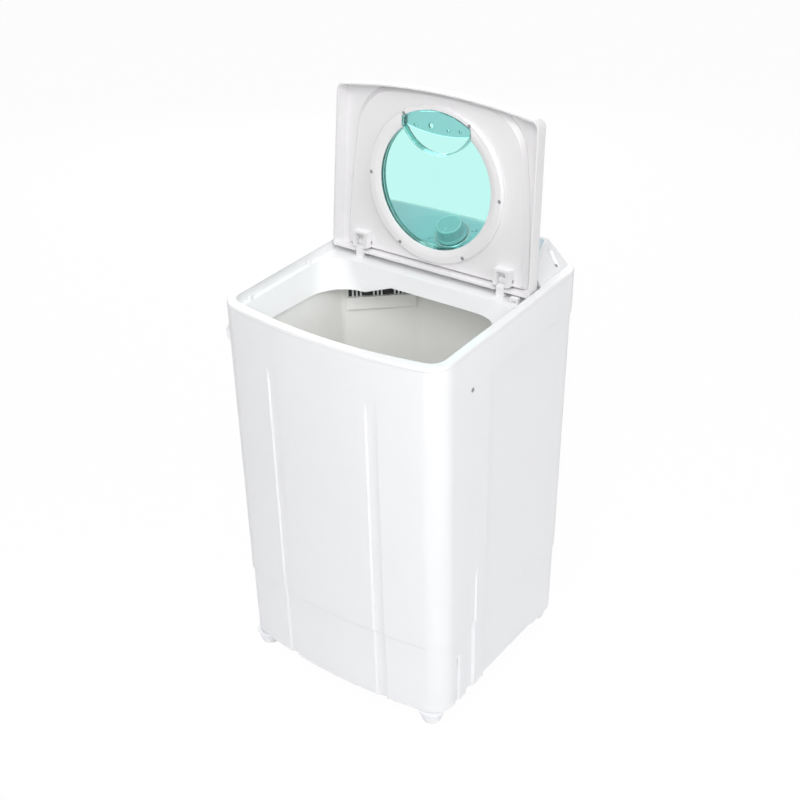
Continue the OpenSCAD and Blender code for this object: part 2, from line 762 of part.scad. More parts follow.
module wash_tub() {
    z = tub_floor_z;
    r = tub_corner;
    color(cream) difference() {
        union() {
            stack([
                level(tub_foot(wall - r), z - wall),
                level(tub_foot(wall - r * 0.3), z - wall + r * 0.3),
                level(tub_foot(wall), z - wall + r),
                level(tub_neck(wall), funnel_z),
                below_rim(tub_top(wall), tub_top_drop),
                below_rim(tub_top(0), tub_top_drop),
                level(tub_neck(0), funnel_z),
                level(tub_foot(0), z + r - wall),
                level(tub_foot(-r * 0.3), z + r * 0.2),
                level(tub_foot(-r), z)
            ]);
            for (sx = [-1, 1]) for (y = [-70, 60]) translate([sx * 112, tub_y + y, chassis_z])
                cylinder(h = z - chassis_z - 1, r = 9);
        }
        translate([0, tub_y, z - 10]) cylinder(h = 20, r = housing_r - 7 + gap);
        translate([drain_x, drain_y, z - 10]) cylinder(h = 20, r = spigot_r + 3);
    }
}

// Puts its children on the tub's cut-off corner at the back left, with local X along the wall
// and local Y out through it
module on_cut_wall(z) {
    w = body_w / 2 - tub_neck_in - tub_in * (funnel_z - z) / (funnel_z - tub_floor_z);
    y1 = tub_back_y - tub_in * (funnel_z - z) / (funnel_z - tub_floor_z);
    a = [-w, tub_cut_y];
    b = [-tub_cut_x, y1];
    lean_in = atan(tub_in / (funnel_z - tub_floor_z) * 0.98);
    translate([(a.x + b.x) / 2, (a.y + b.y) / 2, z])
        rotate([0, 0, atan2(b.y - a.y, b.x - a.x)]) rotate([-lean_in, 0, 0]) children();
}

comb_w = 106;
comb_group = 32;
comb_rib = 2.4;
slab_h = 20;

module overflow_comb() {
    ends = [0, comb_w - comb_rib];
    ribs = [for (g = [0:2]) for (j = [0:2]) 8 + g * comb_group + j * comb_pitch];
    color(cream) on_cut_wall(comb_z) {
        translate([-comb_w / 2, -8 - gap, 0]) cube([comb_w, 8, slab_h]);
        translate([-comb_w / 2, -6 - gap, slab_h + comb_h]) cube([comb_w, 6, 4]);
        for (at = concat(ends, ribs)) translate([at - comb_w / 2, -6 - gap, 0])
            cube([comb_rib, 4, slab_h + comb_h + 1]);
    }
}

module overflow_screen() {
    color(dark) on_cut_wall(comb_z)
        translate([-comb_w / 2 + 0.5, -2 - gap, slab_h]) cube([comb_w - 1, 1.8, comb_h]);
}

module drain_grille() {
    color(cream) translate([drain_x, drain_y, tub_floor_z - 2]) difference() {
        union() {
            cylinder(h = 2, r = spigot_r + 2.7);
            translate([0, 0, 2]) cylinder(h = 1.6, r = spigot_r + 6);
        }
        for (i = [-2:2]) translate([i * 4.6, 0, 0]) cube([2.4, 18 - abs(i) * 3, 20], center = true);
    }
}

module bearing_housing() {
    top = tub_floor_z - wall;
    color(cream) translate([0, tub_y, 0]) difference() {
        union() {
            translate([0, 0, top - 6]) cylinder(h = 6, r = 52);
            translate([0, 0, housing_bottom_z]) cylinder(h = top - housing_bottom_z + 4, r = housing_r - 7);
            translate([0, 0, housing_bottom_z]) cylinder(h = top - housing_bottom_z - 1, r = housing_r);
        }
        translate([0, 0, housing_bottom_z - 1]) cylinder(h = top, r = shaft_r + 2);
        translate([0, 0, housing_bottom_z - 1]) cylinder(h = bearing_h + 1, r = bearing_r);
        translate([0, 0, top + 4 - seal_h - bearing_h]) cylinder(h = 30, r = bearing_r);
    }
}

module upper_bearing() {
    color(steel) translate([0, tub_y, tub_floor_z - wall + 4 - seal_h - bearing_h])
        tube(bearing_r, shaft_r + running, bearing_h);
}

module lower_bearing() {
    color(steel) translate([0, tub_y, housing_bottom_z]) tube(bearing_r, shaft_r + running, bearing_h);
}

module shaft_seal() {
    color(dark) translate([0, tub_y, tub_floor_z - wall + 4 - seal_h])
        tube(bearing_r, shaft_r + running, seal_h);
}

module chassis_plate() {
    z = shelf_z;
    color(steel) difference() {
        plate(body_outline(shelf_z, base_inset + shelf_w - 3), z, chassis_t);
        translate([0, tub_y, z - 1]) cylinder(h = 20, r = housing_r + 6);
        translate([motor_x, motor_y, z - 1]) cylinder(h = 20, r = 16);
        translate([drain_x, drain_y, z - 1]) cylinder(h = 20, r = spigot_r + 4);
    }
}

module motor_body() {
    color(steel) translate([motor_x, motor_y, motor_bottom_z]) difference() {
        rotate_extrude() polygon([[0, 0], [motor_r - 6, 0], [motor_r, 6], [motor_r, motor_h - 6],
                                  [motor_r - 6, motor_h], [0, motor_h]]);
        translate([0, 0, -1]) cylinder(h = motor_h - 9, r = motor_shaft_r + running);
    }
}

module motor_mounts() {
    color(dark) translate([motor_x, motor_y, chassis_z]) for (a = [45:90:315]) rotate([0, 0, a])
        translate([motor_r - 14, 0, 0]) cylinder(h = motor_bottom_z - chassis_z, r = 7);
}

module drive_belt() {
    d = motor_y - tub_y;
    color(dark) translate([0, 0, belt_z - belt_w / 2]) difference() {
        belt_loop(gap + belt_t, d, belt_w);
        translate([0, 0, -1]) belt_loop(gap, d, belt_w + 2);
    }
}

// The stadium-like outline of a belt that runs grow outside its two pulleys
module belt_loop(grow, d, h) {
    r1 = big_pulley_r + grow;
    r2 = small_pulley_r + grow;
    a = asin((r1 - r2) / d);
    linear_extrude(height = h) {
        translate([0, tub_y]) circle(r = r1, $fn = 96);
        translate([motor_x, motor_y]) circle(r = r2);
        polygon([[r1 * cos(a), tub_y + r1 * sin(a)], [r2 * cos(a), motor_y + r2 * sin(a)],
                 [-r2 * cos(a), motor_y + r2 * sin(a)], [-r1 * cos(a), tub_y + r1 * sin(a)]]);
    }
}

module capacitor() {
    color(white) translate([-100, motor_y, chassis_z]) cylinder(h = 62, r = 17);
}

module capacitor_clip() {
    color(steel) translate([-100, motor_y, chassis_z]) {
        translate([0, 0, 18]) tube(18.6, 17, 14);
        translate([17.2, -7, 0]) cube([1.6, 14, 24]);
        translate([17.2, -7, 0]) cube([14, 14, 1.6]);
    }
}

module drain_pipe() {
    end = body_d / 2 - 0.5;
    out = rear_at(drain_z) - base_inset - strip_depth + 1;
    color(cream) difference() {
        union() {
            translate([drain_x, drain_y, drain_z]) cylinder(h = tub_floor_z - wall - drain_z, r = spigot_r);
            translate([drain_x, drain_y, tub_floor_z - wall - 4]) cylinder(h = 4, r = spigot_r + 6);
            translate([drain_x, drain_y, drain_z]) rotate([-90, 0, 0]) cylinder(h = out - drain_y, r = spigot_r + 1);
            translate([drain_x, out - 1, drain_z]) rotate([-90, 0, 0]) cylinder(h = end - out + 1, r = spigot_r);
            translate([drain_x, drain_y, drain_z]) sphere(r = spigot_r + 1);
            translate([drain_x, out - 2 * wall - 4, drain_z]) rotate([-90, 0, 0])
                cylinder(h = wall, r = spigot_r + 5);
        }
        translate([drain_x, drain_y, drain_z]) cylinder(h = 200, r = spigot_r - 2);
        translate([drain_x, drain_y, drain_z]) rotate([-90, 0, 0]) cylinder(h = 300, r = spigot_r - 2);
        translate([drain_x, drain_y, drain_z]) sphere(r = spigot_r - 2);
    }
}

module rear_cover() {
    color(white) on_back(0, service_z, 0) difference() {
        translate([-service_w / 2 - 12, 0, -service_h / 2 - 12]) cube([service_w + 24, 1.6, service_h + 24]);
        for (i = [-6:6]) translate([0, 0, i * 12]) cube([110, 10, 4], center = true);
    }
}

module rear_cover_screws() {
    color(steel) on_back(0, service_z, 0) for (sx = [-1, 1]) for (sz = [-1, 0, 1])
        translate([sx * (service_w / 2 + 6), 1.6, sz * (service_h / 2 + 4)]) rotate([-90, 0, 0])
            cylinder(h = 1, r = 3.2);
}

module lead_gland() {
    y = rear_at(lead_z) - base_inset - strip_depth + gap;
    color(dark) translate([lead_x, y, lead_z]) rotate([-90, 0, 0]) difference() {
        union() {
            translate([0, 0, -12]) cylinder(h = 14, r = gland_r);
            cylinder(h = 3, r = gland_r + 3.5);
        }
        translate([0, 0, -13]) cylinder(h = 20, r = lead_r);
    }
}

module side_screws() {
    color(dark) for (s = [-1, 1]) translate([s * (body_w / 2 - 0.1), side_screw_y, side_screw_z])
        rotate([0, -s * 90, 0]) {
            cylinder(h = 1.1, r = 3.4, $fn = 32);
            cylinder(h = wall + gap + 2.5, r = 1.8, $fn = 24);
        }
}

module hose_hook() {
    at = corner_r * cos(45);
    w = body_w / 2 - corner_r + at;
    y = front_at(hook_z) + corner_r - at - front_bow * (1 - pow(w / (body_w / 2), 2));
    r = (hook_h * hook_h / 4 + hook_d * hook_d) / (2 * hook_d);
    color(white) translate([-w, y, hook_z]) rotate([0, 0, 225]) rotate([90, 0, 90]) intersection() {
        translate([-3, -hook_h / 2, gap]) cube([6, hook_h, hook_d + 1]);
        translate([0, 0, hook_d - r]) rotate([0, 90, 0]) cylinder(h = 20, r = r, center = true);
    }
}

hook_h = 23;
hook_d = 4.5;

// Height of the trough's floor over the hinge axis, at the distance y behind the axis
function trough(y) = rim_slope * y - hinge_rise - seat_drop;

module hinge_arms() {
    color(white) for (s = [-1, 1]) translate([s * hinge_x, hinge_y, hinge_z]) rotate([90, 0, 90])
        difference() {
            translate([0, 0, -arm_w / 2]) linear_extrude(height = arm_w) {
                circle(r = eye_r);
                polygon([[-4.4, -4.4], [leg_front, -6.6], [leg_front, trough(leg_front)],
                         [leg_back, trough(leg_back)], [leg_back, -9], [0, -4]]);
            }
            translate([0, 0, -arm_w]) cylinder(h = 2 * arm_w, r = pin_r + running);
        }
}

// The arm's upright leg, ahead of the pin so that it clears the lid's rear skirt
leg_front = -12.6;
leg_back = -6.6;

module latch_block() {
    y = opening_rear_y + 7;
    z = rim_z(y) - seat_drop;
    color(white) translate([latch_x, y, z]) rotate([rim_tilt, 0, 0]) difference() {
        translate([-latch_w / 2, 0, 0]) cube([latch_w, 7, 8]);
        translate([-4, -1, 2.2]) cube([8, 4, 1.6]);
    }
}

latch_x = 150;
latch_w = 13;

// The lid's outline, in its own frame, with the hinge edge at the back
function lid_edge(grow, back) =
    let (w = lid_half_w + grow,
         y1 = hinge_edge + back,
         y0 = hinge_edge - lid_l - grow)
    [for (p = outline(w, y0, y1, 11 + grow, 5, lid_bow))
        [p.x * (1 - lid_taper / lid_half_w * (y1 - p.y) / lid_l), p.y]];

module lid_shell() {
    color(white) on_lid() difference() {
        stack([
            level(lid_edge(-lid_wall - 1.5, -lid_wall), ceiling),
            level(lid_edge(-lid_wall - 0.5, -lid_wall), ceiling - 3),
            level(lid_edge(-lid_wall, -lid_wall), lid_bottom),
            level(lid_edge(0, 0), lid_bottom),
            level(lid_edge(-0.4, 0), lid_top - 5),
            level(lid_edge(-2, -1), lid_top - 1.4),
            level(lid_edge(-6, -3), lid_top)
        ]);
        window_hole();
        for (s = [-1, 1]) translate([s * hinge_x - arm_w / 2 - 1, 5, lid_bottom - 1])
            cube([arm_w + 2, 10, skirt_notch + 1]);
    }
}

// Outline of the lid's inner panel, which narrows towards the front
function liner_edge(grow) =
    let (w = 150 + grow,
         back = hinge_edge - lid_wall - gap - 0.4 * (6 - grow))
    [for (p = outline(w, hinge_edge - lid_l + 9 - grow, back, 46, 6, 12))
        [p.x * (1 - 0.16 * pow((hinge_edge - p.y) / lid_l, 2)), p.y]];

module lid_liner() {
    color(white) on_lid() difference() {
        union() {
            difference() {
                stack([
                    level(liner_edge(0), liner_z),
                    level(liner_edge(6), ceiling - 0.02),
                    level(liner_edge(4), ceiling - 0.02),
                    level(liner_edge(-1.6), liner_z + liner_t)
                ]);
                window_hole();
                for (s = [-1, 1]) translate([s * hinge_x - arm_w / 2 - 0.5, -eye_r - 0.5, -20])
                    cube([arm_w + 1, 2 * eye_r + 1.5, 40]);
            }
            for (s = [-1, 1]) for (c = [-1, 1])
                translate([s * hinge_x + c * (socket_w + arm_w + 1) / 4 - socket_cheek / 2,
                           hinge_edge - socket_front, socket_deep])
                    cube([socket_cheek, socket_front - socket_back, liner_z + 0.5 - socket_deep]);
            for (s = [-1, 1]) translate([s * hinge_x - socket_w / 2, hinge_edge - socket_front, 0]) {
                translate([0, 0, socket_deep]) cube([socket_w, socket_web, liner_z + 0.5 - socket_deep]);
                translate([0, 0, web_bottom])
                    cube([socket_w, socket_front - hinge_edge - eye_r - 0.6, liner_z + 0.5 - web_bottom]);
            }
        }
        for (s = [-1, 1]) translate([s * hinge_x, 0, 0]) rotate([0, 90, 0])
            cylinder(h = socket_w + 2, r = pin_r, center = true);
    }
}

socket_cheek = (socket_w - arm_w - 1) / 2;
web_bottom = -4.2;

module hinge_pins() {
    color(steel) on_lid() for (s = [-1, 1]) translate([s * hinge_x, 0, 0]) rotate([0, 90, 0])
        cylinder(h = socket_w, r = pin_r, center = true);
}

// The lens-shaped outline of the finger grip, set in by a wall
module lens(in) {
    intersection() {
        translate([0, window_y]) circle(r = grip_top_r - in, $fn = 160);
        translate([0, window_y - grip_low - grip_arc_r]) circle(r = grip_arc_r - in, $fn = 128);
        translate([in - grip_half_w, window_y - 130]) square([2 * (grip_half_w - in), 130]);
    }
}

// The part of the lens that stays closed from outside, to pull the lid by
module grip_part(in) {
    intersection() {
        lens(in);
        translate([0, window_y - grip_corner_u + 7 - grip_bar_r]) circle(r = grip_bar_r, $fn = 200);
    }
}

grip_bar_r = 230;
cup_floor = -5.6;

// The hole through the lid's shell and liner, which clears the window's wall
module window_hole() {
    translate([0, 0, -20]) linear_extrude(height = 60) {
        translate([0, window_y]) circle(r = window_r + sheet_t + gap, $fn = 128);
        lens(-sheet_t - gap);
    }
}

// The clear space inside the window's wall
module window_clear() {
    translate([0, 0, liner_z - 10]) linear_extrude(height = 40) {
        translate([0, window_y]) circle(r = window_r, $fn = 128);
        lens(0);
    }
}

module lid_window() {
    color(teal) on_lid() {
        difference() {
            union() {
                translate([0, window_y, liner_z - 2]) cylinder(h = 2, r = window_flange_r, $fn = 128);
                translate([0, window_y, liner_z - 2])
                    cylinder(h = window_rim - liner_z + 2, r = window_r + sheet_t, $fn = 128);
                translate([0, 0, liner_z - 2]) linear_extrude(height = window_rim - liner_z + 2) lens(-sheet_t);
            }
            window_clear();
        }
        translate([0, 0, sheet_z]) linear_extrude(height = sheet_t) difference() {
            union() {
                translate([0, window_y]) circle(r = window_r + 0.5, $fn = 128);
                lens(-0.5);
            }
            difference() {
                lens(sheet_t);
                grip_part(0);
            }
            for (hole = grip_holes) translate([hole.x, window_y - hole.y]) circle(r = hole.z, $fn = 32);
        }
    }
}

// Holes in the grip: sideways place, distance from the window's middle, and radius
grip_holes = [[-38.8, 79, 1.9], [-12.5, 81.5, 3.8], [15.5, 79.5, 1.9], [35, 81, 1.2]];

module finger_cup() {
    color(teal) on_lid() {
        translate([0, 0, cup_floor]) linear_extrude(height = sheet_z - cup_floor) difference() {
            lens(cup_gap);
            lens(cup_gap + sheet_t);
        }
        translate([0, 0, cup_floor]) linear_extrude(height = sheet_t) lens(cup_gap + 0.5);
    }
}

cup_gap = 0.2;

module window_ring() {
    color(white) on_lid() difference() {
        translate([0, window_y, 0]) rotate_extrude($fn = 128) polygon([
            [window_r, liner_z - 2], [window_r, ring_inner + 0.6], [window_r + 0.8, ring_inner],
            [window_r + 4, ring_inner - 1.1], [ring_screw_r - 7, ring_face + 0.4], [ring_screw_r - 4, ring_face],
            [ring_screw_r + 2.6, ring_face], [ring_r - 1, ring_face + 1.4], [ring_r, ring_face + 3.4],
            [ring_r, liner_z], [window_flange_r + gap, liner_z], [window_flange_r + gap, liner_z - 2]]);
        translate([0, 0, liner_z - 12]) linear_extrude(height = 20) lens(-gap);
        translate([0, 0, liner_z - 2 - gap]) linear_extrude(height = 20) lens(-sheet_t - gap);
        translate([0, window_y, 0]) for (a = [0:60:300]) rotate([0, 0, a])
            translate([ring_screw_r, 0, ring_face - 1]) cylinder(h = 1 + screw_sink, r = screw_head_r + gap);
    }
}

screw_head_r = 2.5;
screw_sink = 1.6;

module ring_screws() {
    color(dark) on_lid() translate([0, window_y, 0]) for (a = [0:60:300]) rotate([0, 0, a])
        translate([ring_screw_r, 0, ring_face + screw_sink - 1.4]) cylinder(h = 1.4, r = screw_head_r);
}

module pulsator() {
    hub_r = 26;
    color(cream) translate([0, tub_y, pulsator_z]) difference() {
        union() {
            rotate_extrude($fn = 128) polygon([[0, 3], [hub_r + 8, 0], [pulsator_r - 3, 0],
                [pulsator_r, 3], [pulsator_r, 6], [pulsator_r - 2, 7], [70, 5], [hub_r + 4, 9],
                [hub_r, 18], [hub_r - 7, 22], [0, 23]]);
            for (i = [0:vanes - 1]) rotate([0, 0, i * 360 / vanes]) vane(hub_r);
        }
        translate([0, 0, -5]) cylinder(h = 16, r = shaft_r + 0.02);
    }
}

// A vane that rises from the disc and leans into its turn
module vane(hub_r) {
    half = (pulsator_r - hub_r) / 2 - 12;
    rotate([0, 0, 8]) translate([(hub_r + pulsator_r) / 2 - 7, 0, 4]) {
        for (s = [-1, 1]) translate([s * half, 0, 0]) cylinder(h = vane_h - 4, r = 8.5);
        translate([-half, -8.5, 0]) cube([2 * half, 17, vane_h - 4]);
    }
}

module pulsator_cap() {
    color(cream) translate([0, tub_y, pulsator_z + 23]) cylinder(h = 3, r1 = 12, r2 = 9);
}

module drive_shaft() {
    color(steel) translate([0, tub_y, shaft_bottom_z]) cylinder(h = pulsator_z + 11 - shaft_bottom_z, r = shaft_r);
}

module large_pulley() {
    color(cream) translate([0, tub_y, belt_z]) difference() {
        rotate_extrude($fn = 96) polygon([[shaft_r, -16], [18, -16], [18, -3], [big_pulley_r - 8, -3],
            [big_pulley_r - 8, -pulley_w / 2], [big_pulley_r + 4, -pulley_w / 2],
            [big_pulley_r, -pulley_w / 2 + 2.5], [big_pulley_r, pulley_w / 2 - 2.5],
            [big_pulley_r + 4, pulley_w / 2], [big_pulley_r - 8, pulley_w / 2],
            [big_pulley_r - 8, 3], [18, 3], [18, 16], [shaft_r, 16]]);
        for (a = [30:60:330]) rotate([0, 0, a]) translate([39, 0, 0]) cylinder(h = 20, r = 12, center = true);
    }
}

module pulley_nut() {
    color(steel) translate([0, tub_y, belt_z - 16 - 6]) difference() {
        cylinder(h = 6, r = 11, $fn = 6);
        translate([0, 0, -1]) cylinder(h = 8, r = shaft_r);
    }
}

module motor_rotor() {
    color(steel) translate([motor_x, motor_y, belt_z - 12])
        cylinder(h = motor_bottom_z + motor_h - 12 - belt_z + 12, r = motor_shaft_r);
}

module small_pulley() {
    color(cream) translate([motor_x, motor_y, belt_z]) rotate_extrude() polygon([[motor_shaft_r, -pulley_w / 2],
        [small_pulley_r + 4, -pulley_w / 2], [small_pulley_r, -pulley_w / 2 + 2.5],
        [small_pulley_r, pulley_w / 2 - 2.5], [small_pulley_r + 4, pulley_w / 2],
        [motor_shaft_r + 6, pulley_w / 2], [motor_shaft_r + 6, pulley_w / 2 + 8],
        [motor_shaft_r, pulley_w / 2 + 8]]);
}

module timer_knob() {
    color([0.5, 0.62, 0.64]) on_fascia(knob_x, knob_up) translate([0, 0, fascia_t + dial_t]) difference() {
        union() {
            rotate_extrude($fn = 96) polygon([[0, 0], [knob_r, 0], [knob_r, 2], [knob_r - 2.4, 4],
                [knob_r - 3.4, knob_h - 1.5], [knob_r - 4.6, knob_h], [0, knob_h - 1]]);
        }
        translate([0, 0, -1]) cylinder(h = 13, r = timer_shaft_r);
    }
}

module timer_shaft() {
    color(steel) on_fascia(knob_x, knob_up) translate([0, 0, -timer_drop - 5.8])
        cylinder(h = timer_drop + 5.8 + 13 + fascia_t, r = timer_shaft_r);
}

outer_housing();
base();
bottom_cover();
feet();
foot_screws();
top_frame();
lid_buffers();
console_housing();
fascia_panel();
dial_ring();
timer_body();
timer_nut();
console_screws();
wash_tub();
overflow_comb();
overflow_screen();
drain_grille();
bearing_housing();
upper_bearing();
lower_bearing();
shaft_seal();
chassis_plate();
motor_body();
motor_mounts();
drive_belt();
capacitor();
capacitor_clip();
drain_pipe();
rear_cover();
rear_cover_screws();
lead_gland();
side_screws();
hose_hook();
hinge_arms();
latch_block();
lid_shell();
lid_liner();
lid_window();
finger_cup();
window_ring();
ring_screws();
hinge_pins();
pulsator();
pulsator_cap();
drive_shaft();
large_pulley();
pulley_nut();
motor_rotor();
small_pulley();
timer_knob();
timer_shaft();
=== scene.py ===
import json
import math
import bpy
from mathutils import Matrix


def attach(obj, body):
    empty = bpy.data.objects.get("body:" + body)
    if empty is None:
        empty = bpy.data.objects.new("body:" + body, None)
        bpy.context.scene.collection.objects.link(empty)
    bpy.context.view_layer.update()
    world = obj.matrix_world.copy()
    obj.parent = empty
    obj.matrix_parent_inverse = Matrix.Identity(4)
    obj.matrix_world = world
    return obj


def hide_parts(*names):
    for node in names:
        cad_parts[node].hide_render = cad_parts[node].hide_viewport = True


bl_info = {
    "name": "Mini washing machine",
    "version": (1, 0, 0),
    "blender": (4, 5, 0),
    "location": "View3D > Sidebar > Washer",
    "description": "Dresses the packed washing machine: shells, window, console, drive and fittings",
    "category": "Object",
}

import bmesh
import bpy
from mathutils import Matrix, Vector

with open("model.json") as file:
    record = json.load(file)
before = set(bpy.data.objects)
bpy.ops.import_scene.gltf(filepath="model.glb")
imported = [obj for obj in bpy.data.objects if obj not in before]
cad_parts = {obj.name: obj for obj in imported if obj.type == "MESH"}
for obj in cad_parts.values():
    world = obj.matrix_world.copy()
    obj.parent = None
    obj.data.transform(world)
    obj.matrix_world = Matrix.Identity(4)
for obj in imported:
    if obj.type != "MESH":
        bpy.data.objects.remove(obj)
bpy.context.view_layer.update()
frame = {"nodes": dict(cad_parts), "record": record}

# Places and directions that repeat the source, in metres

MM = 0.001
TUB_Y = -0.004
PULSATOR_Z = 0.207
BUTTON_Z = 0.230
MOTOR_PLACE = (0, 0.118, 0.130)
CAPACITOR_PLACE = (-0.1, 0.118, 0.122)
FOOT_X = 0.157
FOOT_Y = 0.146
LID_OUT = Vector((0, -0.99756, 0.06976))
LID_UP = Vector((0, 0.069756, 0.997564))
WINDOW_UP = 0.7282
GRIP_MIDDLE = (0, 0.058302, 0.833764)
GRIP_RADIUS = 0.0639
GRIP_HALF_WIDTH = 0.0563
GRIP_FACE = -0.043
DIAL = Vector((0.008, 0.12338, 0.63959))
FASCIA_OUT = Vector((0, -0.42936, 0.90313))

# Heights over the fascia's back, in millimetres

FASCIA_FACE = 1.6
KNOB_LIFT = 3.6

# The camera that was fitted to the photograph

CAMERA_PLACE = Vector((0.9698, -1.3146, 1.3578))
CAMERA_TARGET = Vector((-0.0079, 0.010, 0.4143))
CAMERA_ROLL = -0.893


# Sizes and colours that a user would change


class WASHER_PG_shell(bpy.types.PropertyGroup):
    """Colours and edges of the moulded white shells"""

    housing: bpy.props.FloatVectorProperty(
        name="Housing colour", description="Colour of the housing and the base",
        subtype="COLOR", size=3, min=0, max=1, default=(0.925, 0.93, 0.95))
    frame: bpy.props.FloatVectorProperty(
        name="Frame colour", description="Colour of the top frame and the console",
        subtype="COLOR", size=3, min=0, max=1, default=(0.9, 0.905, 0.915))
    lid: bpy.props.FloatVectorProperty(
        name="Lid colour", description="Colour of the lid's shell, liner and ring",
        subtype="COLOR", size=3, min=0, max=1, default=(0.865, 0.855, 0.865))
    tub: bpy.props.FloatVectorProperty(
        name="Tub colour", description="Colour of the tub and the pulsator",
        subtype="COLOR", size=3, min=0, max=1, default=(0.955, 0.955, 0.935))
    edge: bpy.props.FloatProperty(
        name="Edge radius", description="Radius that the moulded edges are rounded to",
        subtype="DISTANCE", min=0, max=0.003, default=0.0011)


class WASHER_PG_window(bpy.types.PropertyGroup):
    """The tinted window and its finger grip, with darker tints that paint shade inside the grip's outline
    and on the upright walls
    """

    tint: bpy.props.FloatVectorProperty(
        name="Tint", description="Colour that white light has behind one sheet",
        subtype="COLOR", size=3, min=0, max=1, default=(0.52, 0.95, 0.89))
    # Painted shade: a darker tint that the window's sheet takes inside the finger grip's outline
    grip: bpy.props.FloatVectorProperty(
        name="Grip painted shade", description="Colour that white light has behind the finger grip's own sheet",
        subtype="COLOR", size=3, min=0, max=1, default=(0.47, 0.655, 0.675))
    # Painted shade: the upright walls get a darker tint than the sheet, standing in for light lost along
    # their length
    wall: bpy.props.FloatVectorProperty(
        name="Wall painted shade", description="Colour of the window's upright walls, which are seen lengthwise",
        subtype="COLOR", size=3, min=0, max=1, default=(0.22, 0.52, 0.5))


class WASHER_PG_dial(bpy.types.PropertyGroup):
    """The timer's knob and its printed marks"""

    flutes: bpy.props.IntProperty(
        name="Flutes", description="Number of flutes round the knob", min=8, max=60, default=30)
    flute_depth: bpy.props.FloatProperty(
        name="Flute depth", description="Depth of the knob's flutes",
        subtype="DISTANCE", min=0.0002, max=0.002, default=0.0007)
    ink: bpy.props.FloatVectorProperty(
        name="Ink", description="Colour of the dial's marks and numbers",
        subtype="COLOR", size=3, min=0, max=1, default=(0.05, 0.16, 0.2))
    number_size: bpy.props.FloatProperty(
        name="Number size", description="Height of the dial's numbers",
        subtype="DISTANCE", min=0.002, max=0.008, default=0.005)


class WASHER_PG_studio(bpy.types.PropertyGroup):
    """Camera and light"""

    key: bpy.props.FloatProperty(
        name="Key light", description="Power of the large lamp beside the camera",
        subtype="POWER", unit="POWER", min=0, max=200, default=29.5)
    side: bpy.props.FloatProperty(
        name="Side light", description="Power of the large lamp on the right",
        subtype="POWER", unit="POWER", min=0, max=200, default=20)
    fill: bpy.props.FloatProperty(
        name="Fill light", description="Power of the lamp over the machine",
        subtype="POWER", unit="POWER", min=0, max=200, default=15)
    rear: bpy.props.FloatProperty(
        name="Rear light", description="Power of the lamp behind the machine",
        subtype="POWER", unit="POWER", min=0, max=200, default=26)
    world: bpy.props.FloatProperty(
        name="World level", description="Strength of the plain light from all sides",
        min=0, max=1, default=0.21)
    lens: bpy.props.FloatProperty(
        name="Lens", description="Focal length of the camera in millimetres",
        min=20, max=200, default=57.98)


# Shader node groups and materials


def socket_group(name, inputs, outputs):
    """An empty shader group with named sockets, and its input and output nodes"""
    group = bpy.data.node_groups.new(name, "ShaderNodeTree")
    for label, kind, value in inputs:
        made = group.interface.new_socket(label, in_out="INPUT", socket_type="NodeSocket" + kind)
        made.default_value = value
    for label, kind in outputs:
        group.interface.new_socket(label, in_out="OUTPUT", socket_type="NodeSocket" + kind)
    return group, group.nodes.new("NodeGroupInput"), group.nodes.new("NodeGroupOutput")


def node(tree, kind, **values):
    """A shader node with its properties and input values set"""
    made = tree.nodes.new("ShaderNode" + kind)
    for key, value in values.items():
        if hasattr(made, key):
            setattr(made, key, value)
        else:
            made.inputs[key.replace("_", " ")].default_value = value
    return made


def wire(tree, *pairs):
    """Links each pair of sockets"""
    for start, end in pairs:
        tree.links.new(start, end)


def math_node(tree, kind, first, second, clamp=False):
    """A Math node, whose inputs are sockets or numbers"""
    made = tree.nodes.new("ShaderNodeMath")
    made.operation = kind
    made.use_clamp = clamp
    for place, value in enumerate((first, second)):
        if isinstance(value, (int, float)):
            made.inputs[place].default_value = value
        else:
            tree.links.new(value, made.inputs[place])
    return made.outputs[0]


def mix_colour(tree, factor, first, second, blend="MIX"):
    """A colour Mix node, whose inputs are sockets or values"""
    made = tree.nodes.new("ShaderNodeMix")
    made.data_type = "RGBA"
    made.blend_type = blend
    for place, value in ((0, factor), (6, first), (7, second)):
        if isinstance(value, (int, float, tuple)):
            made.inputs[place].default_value = value
        else:
            tree.links.new(value, made.inputs[place])
    return made.outputs[2]


def shaded(tree, colour, level):
    """A colour made lighter or darker by one level for all its channels"""
    shade = node(tree, "CombineColor")
    wire(tree, *((level, socket) for socket in shade.inputs[:3]))
    return mix_colour(tree, 1.0, colour, shade.outputs[0], "MULTIPLY")


